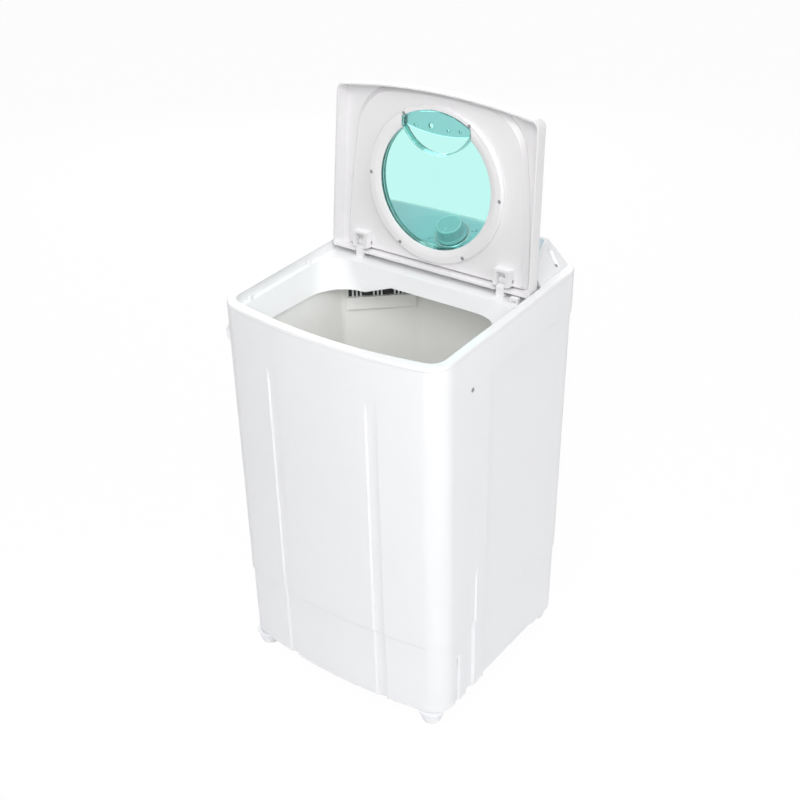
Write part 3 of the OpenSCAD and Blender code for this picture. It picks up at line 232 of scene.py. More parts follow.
def moulded_group():
    """Moulded plastic: slow change of tone, faint sink marks, fine grain and uneven gloss"""
    name = "Moulded surface"
    if name in bpy.data.node_groups:
        return bpy.data.node_groups[name]
    group, inner, out = socket_group(
        name,
        [("Colour", "Color", (0.8, 0.8, 0.8, 1)), ("Tone", "Float", 0.03), ("Roughness", "Float", 0.3),
         ("Grain", "Float", 0.2), ("Grain size", "Float", 0.0006)],
        [("Colour", "Color"), ("Roughness", "Float"), ("Height", "Float")])
    place = node(group, "TexCoord")
    slow = node(group, "TexNoise", Scale=7.0, Detail=3.0, Roughness=0.55)
    flow = node(group, "TexNoise", Scale=9.0, Detail=1.0)
    grain = node(group, "TexNoise", Detail=2.0, Roughness=0.6)
    wire(group, *((place.outputs["Object"], noise.inputs["Vector"]) for noise in (slow, flow, grain)))
    wire(group, (math_node(group, "DIVIDE", 1.0, inner.outputs["Grain size"]), grain.inputs["Scale"]))
    shift = math_node(group, "SUBTRACT", slow.outputs["Fac"], 0.5)
    tone = math_node(group, "MULTIPLY", shift, inner.outputs["Tone"])
    level = math_node(group, "ADD", 1.0, tone)
    wire(group, (shaded(group, inner.outputs["Colour"], level), out.inputs["Colour"]))
    gloss = math_node(group, "MULTIPLY", shift, 0.06)
    wire(group, (math_node(group, "ADD", inner.outputs["Roughness"], gloss, True), out.inputs["Roughness"]))
    waves = math_node(group, "MULTIPLY", flow.outputs["Fac"], 0.5)
    fine = math_node(group, "MULTIPLY", grain.outputs["Fac"], inner.outputs["Grain"])
    wire(group, (math_node(group, "ADD", waves, fine), out.inputs["Height"]))
    return group


def brushed_group():
    """Rolled or turned metal: fine lines along one axis with a spread of gloss"""
    name = "Brushed lines"
    if name in bpy.data.node_groups:
        return bpy.data.node_groups[name]
    group, inner, out = socket_group(
        name,
        [("Colour", "Color", (0.6, 0.6, 0.62, 1)), ("Roughness", "Float", 0.3),
         ("Stretch", "Vector", (1, 1, 30)), ("Spots", "Float", 0.1)],
        [("Colour", "Color"), ("Roughness", "Float"), ("Height", "Float")])
    place = node(group, "TexCoord")
    lay = node(group, "Mapping")
    lines = node(group, "TexNoise", Scale=60.0, Detail=4.0, Roughness=0.7)
    spots = node(group, "TexVoronoi", Scale=220.0)
    wire(group, (place.outputs["Object"], lay.inputs["Vector"]),
         (place.outputs["Object"], spots.inputs["Vector"]),
         (inner.outputs["Stretch"], lay.inputs["Scale"]), (lay.outputs["Vector"], lines.inputs["Vector"]))
    streak = math_node(group, "SUBTRACT", lines.outputs["Fac"], 0.5)
    dull = math_node(group, "MULTIPLY", spots.outputs["Distance"], inner.outputs["Spots"])
    bright = math_node(group, "ADD", 1.0, math_node(group, "MULTIPLY", streak, 0.3))
    level = math_node(group, "SUBTRACT", bright, dull)
    wire(group, (shaded(group, inner.outputs["Colour"], level), out.inputs["Colour"]))
    gloss = math_node(group, "MULTIPLY", streak, 0.35)
    wire(group, (math_node(group, "ADD", inner.outputs["Roughness"], gloss, True), out.inputs["Roughness"]))
    wire(group, (lines.outputs["Fac"], out.inputs["Height"]))
    return group


def base_material(name):
    """A material with nodes, and its tree and its Principled shader"""
    made = bpy.data.materials.new(name)
    made.use_nodes = True
    tree = made.node_tree
    return made, tree, tree.nodes["Principled BSDF"]


def moulded(name, colour, roughness=0.3, grain=0.15, grain_size=0.0006, tone=0.03, bump=0.1, depth=0.0004,
            coat=0.0, edge=None, **sockets):
    """A moulded plastic or rubber material with softened edges"""
    if name in bpy.data.materials:
        return bpy.data.materials[name]
    made, tree, shader = base_material(name)
    surface = tree.nodes.new("ShaderNodeGroup")
    surface.node_tree = moulded_group()
    surface.inputs["Colour"].default_value = (*colour, 1)
    surface.inputs["Tone"].default_value = tone
    surface.inputs["Roughness"].default_value = roughness
    surface.inputs["Grain"].default_value = grain
    surface.inputs["Grain size"].default_value = grain_size
    relief = node(tree, "Bump", Strength=bump, Distance=depth)
    wire(tree, (surface.outputs["Colour"], shader.inputs["Base Color"]),
         (surface.outputs["Roughness"], shader.inputs["Roughness"]),
         (surface.outputs["Height"], relief.inputs["Height"]),
         (relief.outputs["Normal"], shader.inputs["Normal"]))
    radius = bpy.context.scene.washer_shell.edge if edge is None else edge
    if radius > 0:
        soft = node(tree, "Bevel", samples=4, Radius=radius)
        wire(tree, (soft.outputs["Normal"], relief.inputs["Normal"]))
    shader.inputs["Coat Weight"].default_value = coat
    for key, value in sockets.items():
        shader.inputs[key.replace("_", " ")].default_value = value
    return made


def brushed(name, colour, roughness=0.3, stretch=(1, 1, 30), spots=0.1, bump=0.15):
    """A metal material with fine lines"""
    if name in bpy.data.materials:
        return bpy.data.materials[name]
    made, tree, shader = base_material(name)
    surface = tree.nodes.new("ShaderNodeGroup")
    surface.node_tree = brushed_group()
    surface.inputs["Colour"].default_value = (*colour, 1)
    surface.inputs["Roughness"].default_value = roughness
    surface.inputs["Stretch"].default_value = stretch
    surface.inputs["Spots"].default_value = spots
    relief = node(tree, "Bump", Strength=bump, Distance=0.0001)
    soft = node(tree, "Bevel", samples=4, Radius=0.0004)
    shader.inputs["Metallic"].default_value = 1.0
    wire(tree, (surface.outputs["Colour"], shader.inputs["Base Color"]),
         (surface.outputs["Roughness"], shader.inputs["Roughness"]),
         (surface.outputs["Height"], relief.inputs["Height"]),
         (soft.outputs["Normal"], relief.inputs["Normal"]),
         (relief.outputs["Normal"], shader.inputs["Normal"]))
    return made


def grip_mask(tree):
    """One inside the finger grip's outline on the window's sheet, where the darker tint paints shade, and
    zero elsewhere
    """
    place = node(tree, "TexCoord")
    lay = node(tree, "Mapping", vector_type="TEXTURE")
    lay.inputs["Location"].default_value = GRIP_MIDDLE
    lay.inputs["Rotation"].default_value = (math.radians(86), 0, 0)
    split = node(tree, "SeparateXYZ")
    wire(tree, (place.outputs["Object"], lay.inputs["Vector"]), (lay.outputs["Vector"], split.inputs[0]))
    across, up, out = split.outputs
    squares = [math_node(tree, "MULTIPLY", part, part) for part in (across, up)]
    away = math_node(tree, "SQRT", math_node(tree, "ADD", *squares), 0.0)
    inside = math_node(tree, "LESS_THAN", away, GRIP_RADIUS - 0.0004)
    between = math_node(tree, "LESS_THAN", math_node(tree, "ABSOLUTE", across, 0.0), GRIP_HALF_WIDTH)
    deep = math_node(tree, "LESS_THAN", out, GRIP_FACE + 0.0015)
    return math_node(tree, "MULTIPLY", math_node(tree, "MULTIPLY", inside, between), deep)


def window_material(name, tint, masked=False):
    """Clear tinted plastic: a hard gloss with faint moulding waves; on request, a darker tint inside the
    finger grip's outline paints shade
    """
    if name in bpy.data.materials:
        return bpy.data.materials[name]
    made, tree, shader = base_material(name)
    surface = tree.nodes.new("ShaderNodeGroup")
    surface.node_tree = moulded_group()
    surface.inputs["Colour"].default_value = (*tint, 1)
    surface.inputs["Tone"].default_value = 0.02
    surface.inputs["Grain"].default_value = 0.0
    relief = node(tree, "Bump", Strength=0.03, Distance=0.0003)
    colour = surface.outputs["Colour"]
    # Painted shade: inside the finger grip's outline the sheet takes the darker grip tint
    if masked:
        colour = mix_colour(tree, grip_mask(tree), colour, (*bpy.context.scene.washer_window.grip, 1))
    wire(tree, (colour, shader.inputs["Base Color"]), (surface.outputs["Height"], relief.inputs["Height"]),
         (relief.outputs["Normal"], shader.inputs["Normal"]))
    shader.inputs["Roughness"].default_value = 0.03
    shader.inputs["IOR"].default_value = 1.49
    shader.inputs["Transmission Weight"].default_value = 1.0
    return made


# Each finish: what makes it, its material's name, its colour or the setting that holds it, and its values

FINISHES = {
    "housing": (moulded, "Housing white", "washer_shell.housing",
                dict(roughness=0.4, grain=0.1, tone=0.008, coat=0.02)),
    "frame": (moulded, "Frame white", "washer_shell.frame",
              dict(roughness=0.3, grain=0.08, tone=0.008, coat=0.08)),
    "lid": (moulded, "Lid white", "washer_shell.lid",
            dict(roughness=0.32, grain=0.1, tone=0.008, coat=0.08)),
    "tub": (moulded, "Tub grey", "washer_shell.tub", dict(roughness=0.33, grain=0.2, tone=0.02, coat=0.05)),
    "inner": (moulded, "Natural white", (0.72, 0.71, 0.68), dict(roughness=0.5, grain=0.5, tone=0.06)),
    "fascia": (moulded, "Fascia blue grey", (0.62, 0.73, 0.79),
               dict(roughness=0.34, grain=0.25, edge=0.0004)),
    "knob": (moulded, "Knob grey", (0.56, 0.67, 0.71), dict(roughness=0.36, grain=0.3, edge=0.0003)),
    "silver": (moulded, "Silver trim", (0.62, 0.64, 0.66),
               dict(roughness=0.3, grain=0.2, edge=0.0004, Metallic=0.7)),
    "dark": (moulded, "Dark plastic", (0.03, 0.03, 0.033),
             dict(roughness=0.45, grain=0.4, tone=0.2, edge=0.0004)),
    "rubber": (moulded, "Black rubber", (0.022, 0.022, 0.023),
               dict(roughness=0.68, grain=0.8, tone=0.3, bump=0.25, edge=0.0005)),
    "steel": (brushed, "Zinc plated steel", (0.62, 0.63, 0.65), dict(roughness=0.32)),
    "screw": (brushed, "Screw steel", (0.42, 0.42, 0.44),
              dict(roughness=0.35, stretch=(1, 1, 1), spots=0.2)),
    "stack": (brushed, "Stator laminations", (0.28, 0.29, 0.31),
              dict(roughness=0.45, stretch=(1, 1, 260), spots=0.15, bump=0.3)),
    "alloy": (brushed, "Cast alloy", (0.55, 0.56, 0.57),
              dict(roughness=0.5, stretch=(1, 1, 1), spots=0.5, bump=0.25)),
    "ink": (moulded, "Dial ink", "washer_dial.ink", dict(roughness=0.4, grain=0.4, tone=0.1, edge=0)),
    # Pale: the pointer's print, and the painted highlight of the knob's top ring
    "pale": (moulded, "Pale ink", (0.86, 0.9, 0.91), dict(roughness=0.4, grain=0.4, tone=0.05, edge=0)),
    "dot": (moulded, "Pale teal", (0.72, 0.9, 0.9), dict(roughness=0.25, grain=0.2, edge=0)),
    "window": (window_material, "Tinted window", "washer_window.tint", {}),
    # The sheet: the window's tint, with painted shade inside the finger grip's outline
    "sheet": (window_material, "Tinted sheet", "washer_window.tint", dict(masked=True)),
    # The upright walls: a darker copy of the window's tint, painted shade
    "wall": (window_material, "Tinted wall", "washer_window.wall", {}),
}


def finish(name):
    """The material of a named finish"""
    make, label, colour, values = FINISHES[name]
    if isinstance(colour, str):
        group, setting = colour.split(".")
        colour = tuple(getattr(getattr(bpy.context.scene, group), setting))
    return make(label, colour, **values)


# Mesh tools


def dress(cad_node, name):
    """Gives a CAD node that stays the material of a finish"""
    target = frame["nodes"][cad_node]
    target.data.materials.clear()
    target.data.materials.append(finish(name))
    return target


def body_name(cad_node):
    """The body that a CAD node belongs to"""
    for body, members in frame["record"]["behaviour"]["bodies"].items():
        if cad_node in members:
            return body
    raise ValueError("no body holds " + cad_node)


def piece(name, bm, cad_node, finish_name, smooth, replaces=True):
    """Turns a bmesh into a piece on a CAD node's body, which stands for the node or adds to it"""
    bmesh.ops.remove_doubles(bm, verts=bm.verts, dist=0.000004)
    for face in bm.faces:
        face.smooth = True
    for edge in bm.edges:
        if len(edge.link_faces) == 2 and edge.calc_face_angle(0) > math.radians(smooth):
            edge.smooth = False
    mesh = bpy.data.meshes.new(name)
    bm.to_mesh(mesh)
    bm.free()
    made = bpy.data.objects.new(name, mesh)
    bpy.context.scene.collection.objects.link(made)
    made.data.materials.append(finish(finish_name))
    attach(made, body_name(cad_node))
    if replaces:
        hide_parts(cad_node)
    return made


def reskin(cad_node, name, finish_name, smooth=24.0):
    """A smooth skin in the place of a CAD node: its merged copy, with flat faces joined and soft shading"""
    bm = bmesh.new()
    bm.from_mesh(frame["nodes"][cad_node].data)
    bmesh.ops.remove_doubles(bm, verts=bm.verts, dist=0.00003)
    bmesh.ops.dissolve_degenerate(bm, edges=bm.edges, dist=0.00001)
    bmesh.ops.dissolve_limit(bm, angle_limit=math.radians(0.4), verts=bm.verts, edges=bm.edges)
    made = piece(name, bm, cad_node, finish_name, smooth)
    weigh = made.modifiers.new("Weighted normals", "WEIGHTED_NORMAL")
    weigh.keep_sharp = True
    return made


def add(bm, part, place=Matrix()):
    """Adds a placed copy of a part's mesh"""
    mesh = bpy.data.meshes.new("part")
    part.to_mesh(mesh)
    mesh.transform(place)
    bm.from_mesh(mesh)
    bpy.data.meshes.remove(mesh)


def turned(profile, steps=64):
    """A closed revolve about local Z of a profile of radius and height in millimetres"""
    bm = bmesh.new()
    verts = [bm.verts.new((r * MM, 0, z * MM)) for r, z in profile]
    edges = [bm.edges.new(pair) for pair in zip(verts, verts[1:])]
    bmesh.ops.spin(bm, geom=verts + edges, cent=(0, 0, 0), axis=(0, 0, 1), dvec=(0, 0, 0),
                   angle=math.tau, steps=steps, use_merge=True, use_duplicate=False)
    bmesh.ops.remove_doubles(bm, verts=bm.verts, dist=0.000003)
    bmesh.ops.dissolve_degenerate(bm, edges=bm.edges, dist=0.000002)
    bmesh.ops.recalc_face_normals(bm, faces=bm.faces)
    return bm


def block(size, place=(0, 0, 0), bevel=0.0, segments=2):
    """A block with rounded edges, sized and placed in millimetres"""
    bm = bmesh.new()
    bmesh.ops.create_cube(bm, size=1)
    bmesh.ops.scale(bm, vec=[s * MM for s in size], verts=bm.verts)
    if bevel > 0:
        bmesh.ops.bevel(bm, geom=bm.edges, offset=bevel * MM, offset_type="OFFSET", segments=segments,
                        profile=0.5, affect="EDGES", material=-1)
    bmesh.ops.translate(bm, vec=[p * MM for p in place], verts=bm.verts)
    return bm


def carve(bm, cutter):
    """Cuts one closed mesh out of another with a Boolean modifier that is applied at once"""
    made = []
    for source in (bm, cutter):
        mesh = bpy.data.meshes.new("carve")
        source.to_mesh(mesh)
        source.free()
        made.append(bpy.data.objects.new("carve", mesh))
        bpy.context.scene.collection.objects.link(made[-1])
    cut = made[0].modifiers.new("Cut", "BOOLEAN")
    cut.operation = "DIFFERENCE"
    cut.solver = "EXACT"
    cut.use_self = True
    cut.object = made[1]
    ready = made[0].evaluated_get(bpy.context.evaluated_depsgraph_get())
    result = bmesh.new()
    result.from_mesh(ready.to_mesh())
    ready.to_mesh_clear()
    for thing in made:
        mesh = thing.data
        bpy.data.objects.remove(thing)
        bpy.data.meshes.remove(mesh)
    return result


def islands(cad_node):
    """The points of each separate solid of a CAD node, in an order that every run repeats"""
    bm = bmesh.new()
    bm.from_mesh(frame["nodes"][cad_node].data)
    bmesh.ops.remove_doubles(bm, verts=bm.verts, dist=0.00002)
    left, found = set(bm.verts), []
    while left:
        queue, group = [left.pop()], []
        while queue:
            vert = queue.pop()
            group.append(vert.co.copy())
            for other in (edge.other_vert(vert) for edge in vert.link_edges):
                if other in left:
                    left.discard(other)
                    queue.append(other)
        found.append(sorted(group, key=tuple))
    bm.free()
    return sorted(found, key=lambda points: tuple(points[0]))


def turn_to(axis, spin=0.0):
    """The rotation that carries local Z onto an axis"""
    turn = Vector(axis).to_track_quat("Z", "Y").to_matrix().to_4x4()
    return turn @ Matrix.Rotation(spin, 4, "Z")


def dial_place(across, up, height=0.0, spin=0.0):
    """A place over the fascia, in millimetres from the knob's axis"""
    side = FASCIA_OUT.cross(Vector((-1, 0, 0)))
    turn = Matrix(((1, 0, 0), tuple(side), tuple(FASCIA_OUT))).transposed().to_4x4()
    return (Matrix.Translation(DIAL) @ turn @ Matrix.Translation((across * MM, up * MM, height * MM))
            @ Matrix.Rotation(spin, 4, "Z"))


def written(words, size):
    """A number as a thin mesh, centred on the origin"""
    curve = bpy.data.curves.new("number", "FONT")
    curve.body = words
    curve.size = size * 1.35
    curve.align_x = "CENTER"
    curve.align_y = "CENTER"
    curve.extrude = 0.00006
    text = bpy.data.objects.new("number", curve)
    bpy.context.scene.collection.objects.link(text)
    ready = text.evaluated_get(bpy.context.evaluated_depsgraph_get())
    bm = bmesh.new()
    bm.from_mesh(ready.to_mesh())
    ready.to_mesh_clear()
    bpy.data.objects.remove(text)
    bpy.data.curves.remove(curve)
    bmesh.ops.translate(bm, vec=(0, 0, 0.00007), verts=bm.verts)
    return bm


def settle(bm, panel):
    """Drops marks along the fascia's normal, so that each point keeps its height over the bowed panel"""
    bpy.context.view_layer.update()
    for vert in bm.verts:
        height = (vert.co - DIAL).dot(FASCIA_OUT) - FASCIA_FACE * MM
        hit, where, normal, face = panel.ray_cast(vert.co + FASCIA_OUT * 0.02, -FASCIA_OUT)
        if hit:
            vert.co = where + FASCIA_OUT * height


def screw(head_r, head_h, shank_r, length):
    """A pan-head screw with a cross recess, a threaded shank and its head's top at the origin"""
    profile = [(0, -length), (shank_r * 0.35, -length)]
    z = -length + 1.0
    while z < -head_h - 0.7:
        profile += [(shank_r * 0.84, z), (shank_r, z + 0.3)]
        z += 0.8
    profile += [(shank_r * 0.9, -head_h), (head_r * 0.97, -head_h), (head_r, -head_h + 0.12),
                (head_r, -head_h * 0.5), (head_r * 0.92, -head_h * 0.22), (head_r * 0.72, -head_h * 0.05),
                (head_r * 0.45, 0), (0, 0)]
    bm = turned(profile, 32)
    cutter = bmesh.new()
    for size in ((head_r * 1.15, head_r * 0.26, head_h), (head_r * 0.26, head_r * 1.15, head_h)):
        arm = block(size)
        add(cutter, arm)
        arm.free()
    return carve(bm, cutter)


def screws(cad_node, name, axis_at, head_r, head_h, shank_r, finish_name="screw"):
    """Screws in the place of a CAD node's plain ones; axis_at gives the outward axis at a point"""
    bm = bmesh.new()
    for count, points in enumerate(islands(cad_node)):
        middle = sum(points, Vector()) / len(points)
        axis = Vector(axis_at(middle)).normalized()
        along = [p.dot(axis) for p in points]
        rim = [p for p, a in zip(points, along) if a > max(along) - 0.00005]
        top = sum(rim, Vector()) / len(rim)
        part = screw(head_r, head_h, shank_r, (max(along) - min(along)) / MM)
        add(bm, part, Matrix.Translation(top) @ turn_to(axis, 0.4 + 1.3 * count))
        part.free()
    piece(name, bm, cad_node, finish_name, 28)


# Operators, one for each group of pieces


class WASHER_OT_shells(bpy.types.Operator):
    """Makes the housing, the base, the top frame, the console housing and the rear cover"""

    bl_idname = "washer.shells"
    bl_label = "Moulded shells"

    def execute(self, context):
        reskin("outer_housing", "housing_shell", "housing")
        reskin("base", "base_shell", "housing")
        reskin("top_frame", "frame_shell", "frame")
        reskin("console_housing", "console_shell", "frame")
        reskin("rear_cover", "rear_cover_panel", "housing")
        reskin("bottom_cover", "bottom_tray", "inner")
        return {"FINISHED"}


class WASHER_OT_tub(bpy.types.Operator):
    """Makes the wash tub, its overflow comb and its pulsator"""

    bl_idname = "washer.tub"
    bl_label = "Wash tub"

    def execute(self, context):
        reskin("wash_tub", "tub_shell", "tub")
        reskin("overflow_comb", "comb", "tub")
        dress("overflow_screen", "dark")
        reskin("drain_grille", "grille", "tub")
        self.pulsator()
        cap = turned([(0, 0), (11.6, 0), (12, 0.3), (11.6, 0.9), (9.9, 2.2), (8.6, 2.8), (6, 3), (0, 3)])
        cap.transform(Matrix.Translation((0, TUB_Y, BUTTON_Z)))
        piece("pulsator_button", cap, "pulsator_cap", "tub", 50)
        return {"FINISHED"}

    def pulsator(self):
        """The washing disc: one dished moulding with a raised hub and three swept vanes"""
        dish = [(26 + 2 * i, 9.6 - 4.4 * min(1, i / 12) ** 0.8) for i in range(5, 41)]
        under = [(0, 11), (7.02, 11), (7.02, 2.4), (34, 0), (113, 0), (115.2, 0.8), (116, 3), (116, 5.6),
                 (115.2, 6.6), (113.5, 7), (111, 6.6)]
        hub = [(34, 8.4), (31.5, 9.4), (28.5, 12.4), (26.2, 17.4), (24.5, 19.6), (21.5, 21.2), (16, 22.2),
               (8, 22.9), (0, 23)]
        bm = turned([*under, *reversed(dish), *hub], 360)
        for vert in bm.verts:
            radius, height = math.hypot(vert.co.x, vert.co.y) / MM, vert.co.z / MM
            if not 26 < radius < 111.5 or height < 4.5:
                continue
            angle = math.atan2(vert.co.y, vert.co.x) - math.radians(8 + 4 * math.sin((radius - 60) / 22))
            away = abs((angle + math.pi / 3) % (math.tau / 3) - math.pi / 3) * radius
            end = max(0.0, abs(radius - 64) - 30) * 1.1
            off = math.hypot(away, end) / 11.5
            if off < 1:
                rise = (1 - off * off) ** 0.75
                vert.co.z += max(0.0, 15.6 - height) * rise * MM
        bm.transform(Matrix.Translation((0, TUB_Y, PULSATOR_Z)))
        piece("pulsator_disc", bm, "pulsator", "tub", 35)


class WASHER_OT_lid(bpy.types.Operator):
    """Makes the lid's shell and liner, the window's ring, and the hinges"""

    bl_idname = "washer.lid"
    bl_label = "Lid"

    def execute(self, context):
        reskin("lid_shell", "lid_outer", "lid")
        reskin("lid_liner", "lid_inner", "lid")
        reskin("window_ring", "ring", "lid")
        reskin("hinge_arms", "arms", "lid")
        reskin("latch_block", "latch", "lid")
        dress("hinge_pins", "steel")
        dress("lid_buffers", "frame")
        screws("ring_screws", "ring_screw_heads", lambda p: LID_OUT, 2.5, 1.6, 1.5)
        return {"FINISHED"}


class WASHER_OT_window(bpy.types.Operator):
    """Makes the tinted window and the finger grip"""

    bl_idname = "washer.window"
    bl_label = "Window"

    # Across, up from the window's centre, and radius of each hole, in millimetres
    holes = ((-38.8, 79, 1.9), (-12.5, 81.5, 3.8), (15.5, 79.5, 1.9), (35, 81, 1.2))

    def execute(self, context):
        for cad_node, name, look in (("lid_window", "window_lens", "sheet"),
                                     ("finger_cup", "grip_cup", "window")):
            mesh = reskin(cad_node, name, look).data
            # Faces that stand edgewise to the lid get the darker tint, which paints shade on the window's
            # upright walls
            mesh.materials.append(finish("wall"))
            for face in mesh.polygons:
                face.material_index = 1 if abs(face.normal.dot(LID_OUT)) < 0.4 else 0
        self.rims()
        return {"FINISHED"}

    def rims(self):
        """A pale raised rim round each hole of the finger grip"""
        bm = bmesh.new()
        for across, rise, hole in self.holes:
            rim = turned([(hole + 0.05, 0), (hole + 1.5, 0), (hole + 1.45, 0.3), (hole + 1.1, 0.55),
                          (hole + 0.6, 0.6), (hole + 0.2, 0.45), (hole + 0.05, 0.2), (hole + 0.05, 0)], 40)
            place = LID_UP * (WINDOW_UP + rise * MM) + LID_OUT * GRIP_FACE + Vector((across * MM, 0, 0))
            add(bm, rim, Matrix.Translation(place) @ turn_to(LID_OUT))
            rim.free()
        piece("grip_rims", bm, "finger_cup", "dot", 40, replaces=False)


class WASHER_OT_console(bpy.types.Operator):
    """Makes the fascia, the dial and the timer"""

    bl_idname = "washer.console"
    bl_label = "Console"

    # Degrees from minute to minute, and where the ticks start and the fascia ends, in millimetres
    minute_turn = 20
    tick_start = 28.0
    lowest = -22

    def execute(self, context):
        panel = reskin("fascia_panel", "fascia", "fascia")
        reskin("dial_ring", "dial_rim", "silver")
        settings = context.scene.washer_dial
        self.knob(settings)
        self.marks(settings, panel)
        reskin("timer_body", "timer_case", "dark")
        dress("timer_nut", "steel")
        dress("timer_shaft", "steel")
        screws("console_screws", "console_screw_heads", lambda p: (math.copysign(0.866, p.x), 0, 0.5),
               3.0, 1.6, 1.4)
        return {"FINISHED"}

    def knob(self, settings):
        """The fluted knob with a pale ring on its top, which paints the highlight of the top's chamfer, and
        a pointer
        """
        flank = [(20.6, 4.0), (20.45, 5.0)] + [(20.6 - 0.066 * (z - 4), z) for z in range(6, 18)]
        skirt = [(0, 12), (3, 12), (3, 0), (22.7, 0), (23, 0.3), (23, 1.6), (22.6, 2.2), (21.4, 3.1)]
        top = [(19.5, 18.4), (19.2, 19.1), (18.8, 19.5), (18.5, 19.5), (18.4, 19.1), (16.6, 19.1),
               (16.5, 19.0), (15.0, 18.7), (8, 18.5), (0, 18.5)]
        body = turned([*skirt, *flank, *top], settings.flutes * 8)
        for vert in body.verts:
            radius, height = math.hypot(vert.co.x, vert.co.y), vert.co.z / MM
            if radius > 0.019 and 4.4 < height < 18.2:
                wave = 0.5 - 0.5 * math.cos(settings.flutes * math.atan2(vert.co.y, vert.co.x))
                fade = min(1.0, (height - 4.4) / 1.6, (18.2 - height) / 1.2)
                scale = 1 - settings.flute_depth * wave ** 2 * fade / radius
                vert.co.x, vert.co.y = vert.co.x * scale, vert.co.y * scale
        # Painted highlight: a pale ring that stands for the light caught by the top's chamfer
        ring = turned([(16.7, 19.15), (18.3, 19.15), (18.3, 19.7), (18.1, 19.9), (16.9, 19.9), (16.7, 19.7),
                       (16.7, 19.15)], 96)
        pointer = block((1.8, 10, 0.6), (0, 10.6, 18.95), 0.2)
        for part, name, look in ((body, "knob", "knob"), (ring, "knob_ring", "pale"),
                                 (pointer, "knob_pointer", "pale")):
            part.transform(dial_place(0, 0, KNOB_LIFT))
            piece(name, part, "timer_knob", look, 40, replaces=name == "knob")

    def marks(self, settings, panel):
        """Printed ticks and numbers round the dial, laid on the fascia"""
        bm = bmesh.new()
        for minute in range(16):
            angle = math.radians(self.minute_turn * minute)
            across, up = math.sin(angle), math.cos(angle)
            main = minute % 3 == 0
            wide, long = (0.75, 3.4) if main else (0.5, 2.0)
            place = self.tick_start + long / 2
            if up * (place + long / 2) < self.lowest:
                continue
            tick = block((wide, long, 0.14), (0, 0, 0.05))
            add(bm, tick, dial_place(across * place, up * place, FASCIA_FACE, -angle))
            tick.free()
            if main and up > -0.6:
                number = written(str(minute), settings.number_size)
                add(bm, number, dial_place(across * 35.2, up * 34.6, FASCIA_FACE))
                number.free()
        settle(bm, panel)
        piece("dial_marks", bm, "fascia_panel", "ink", 40, replaces=False)


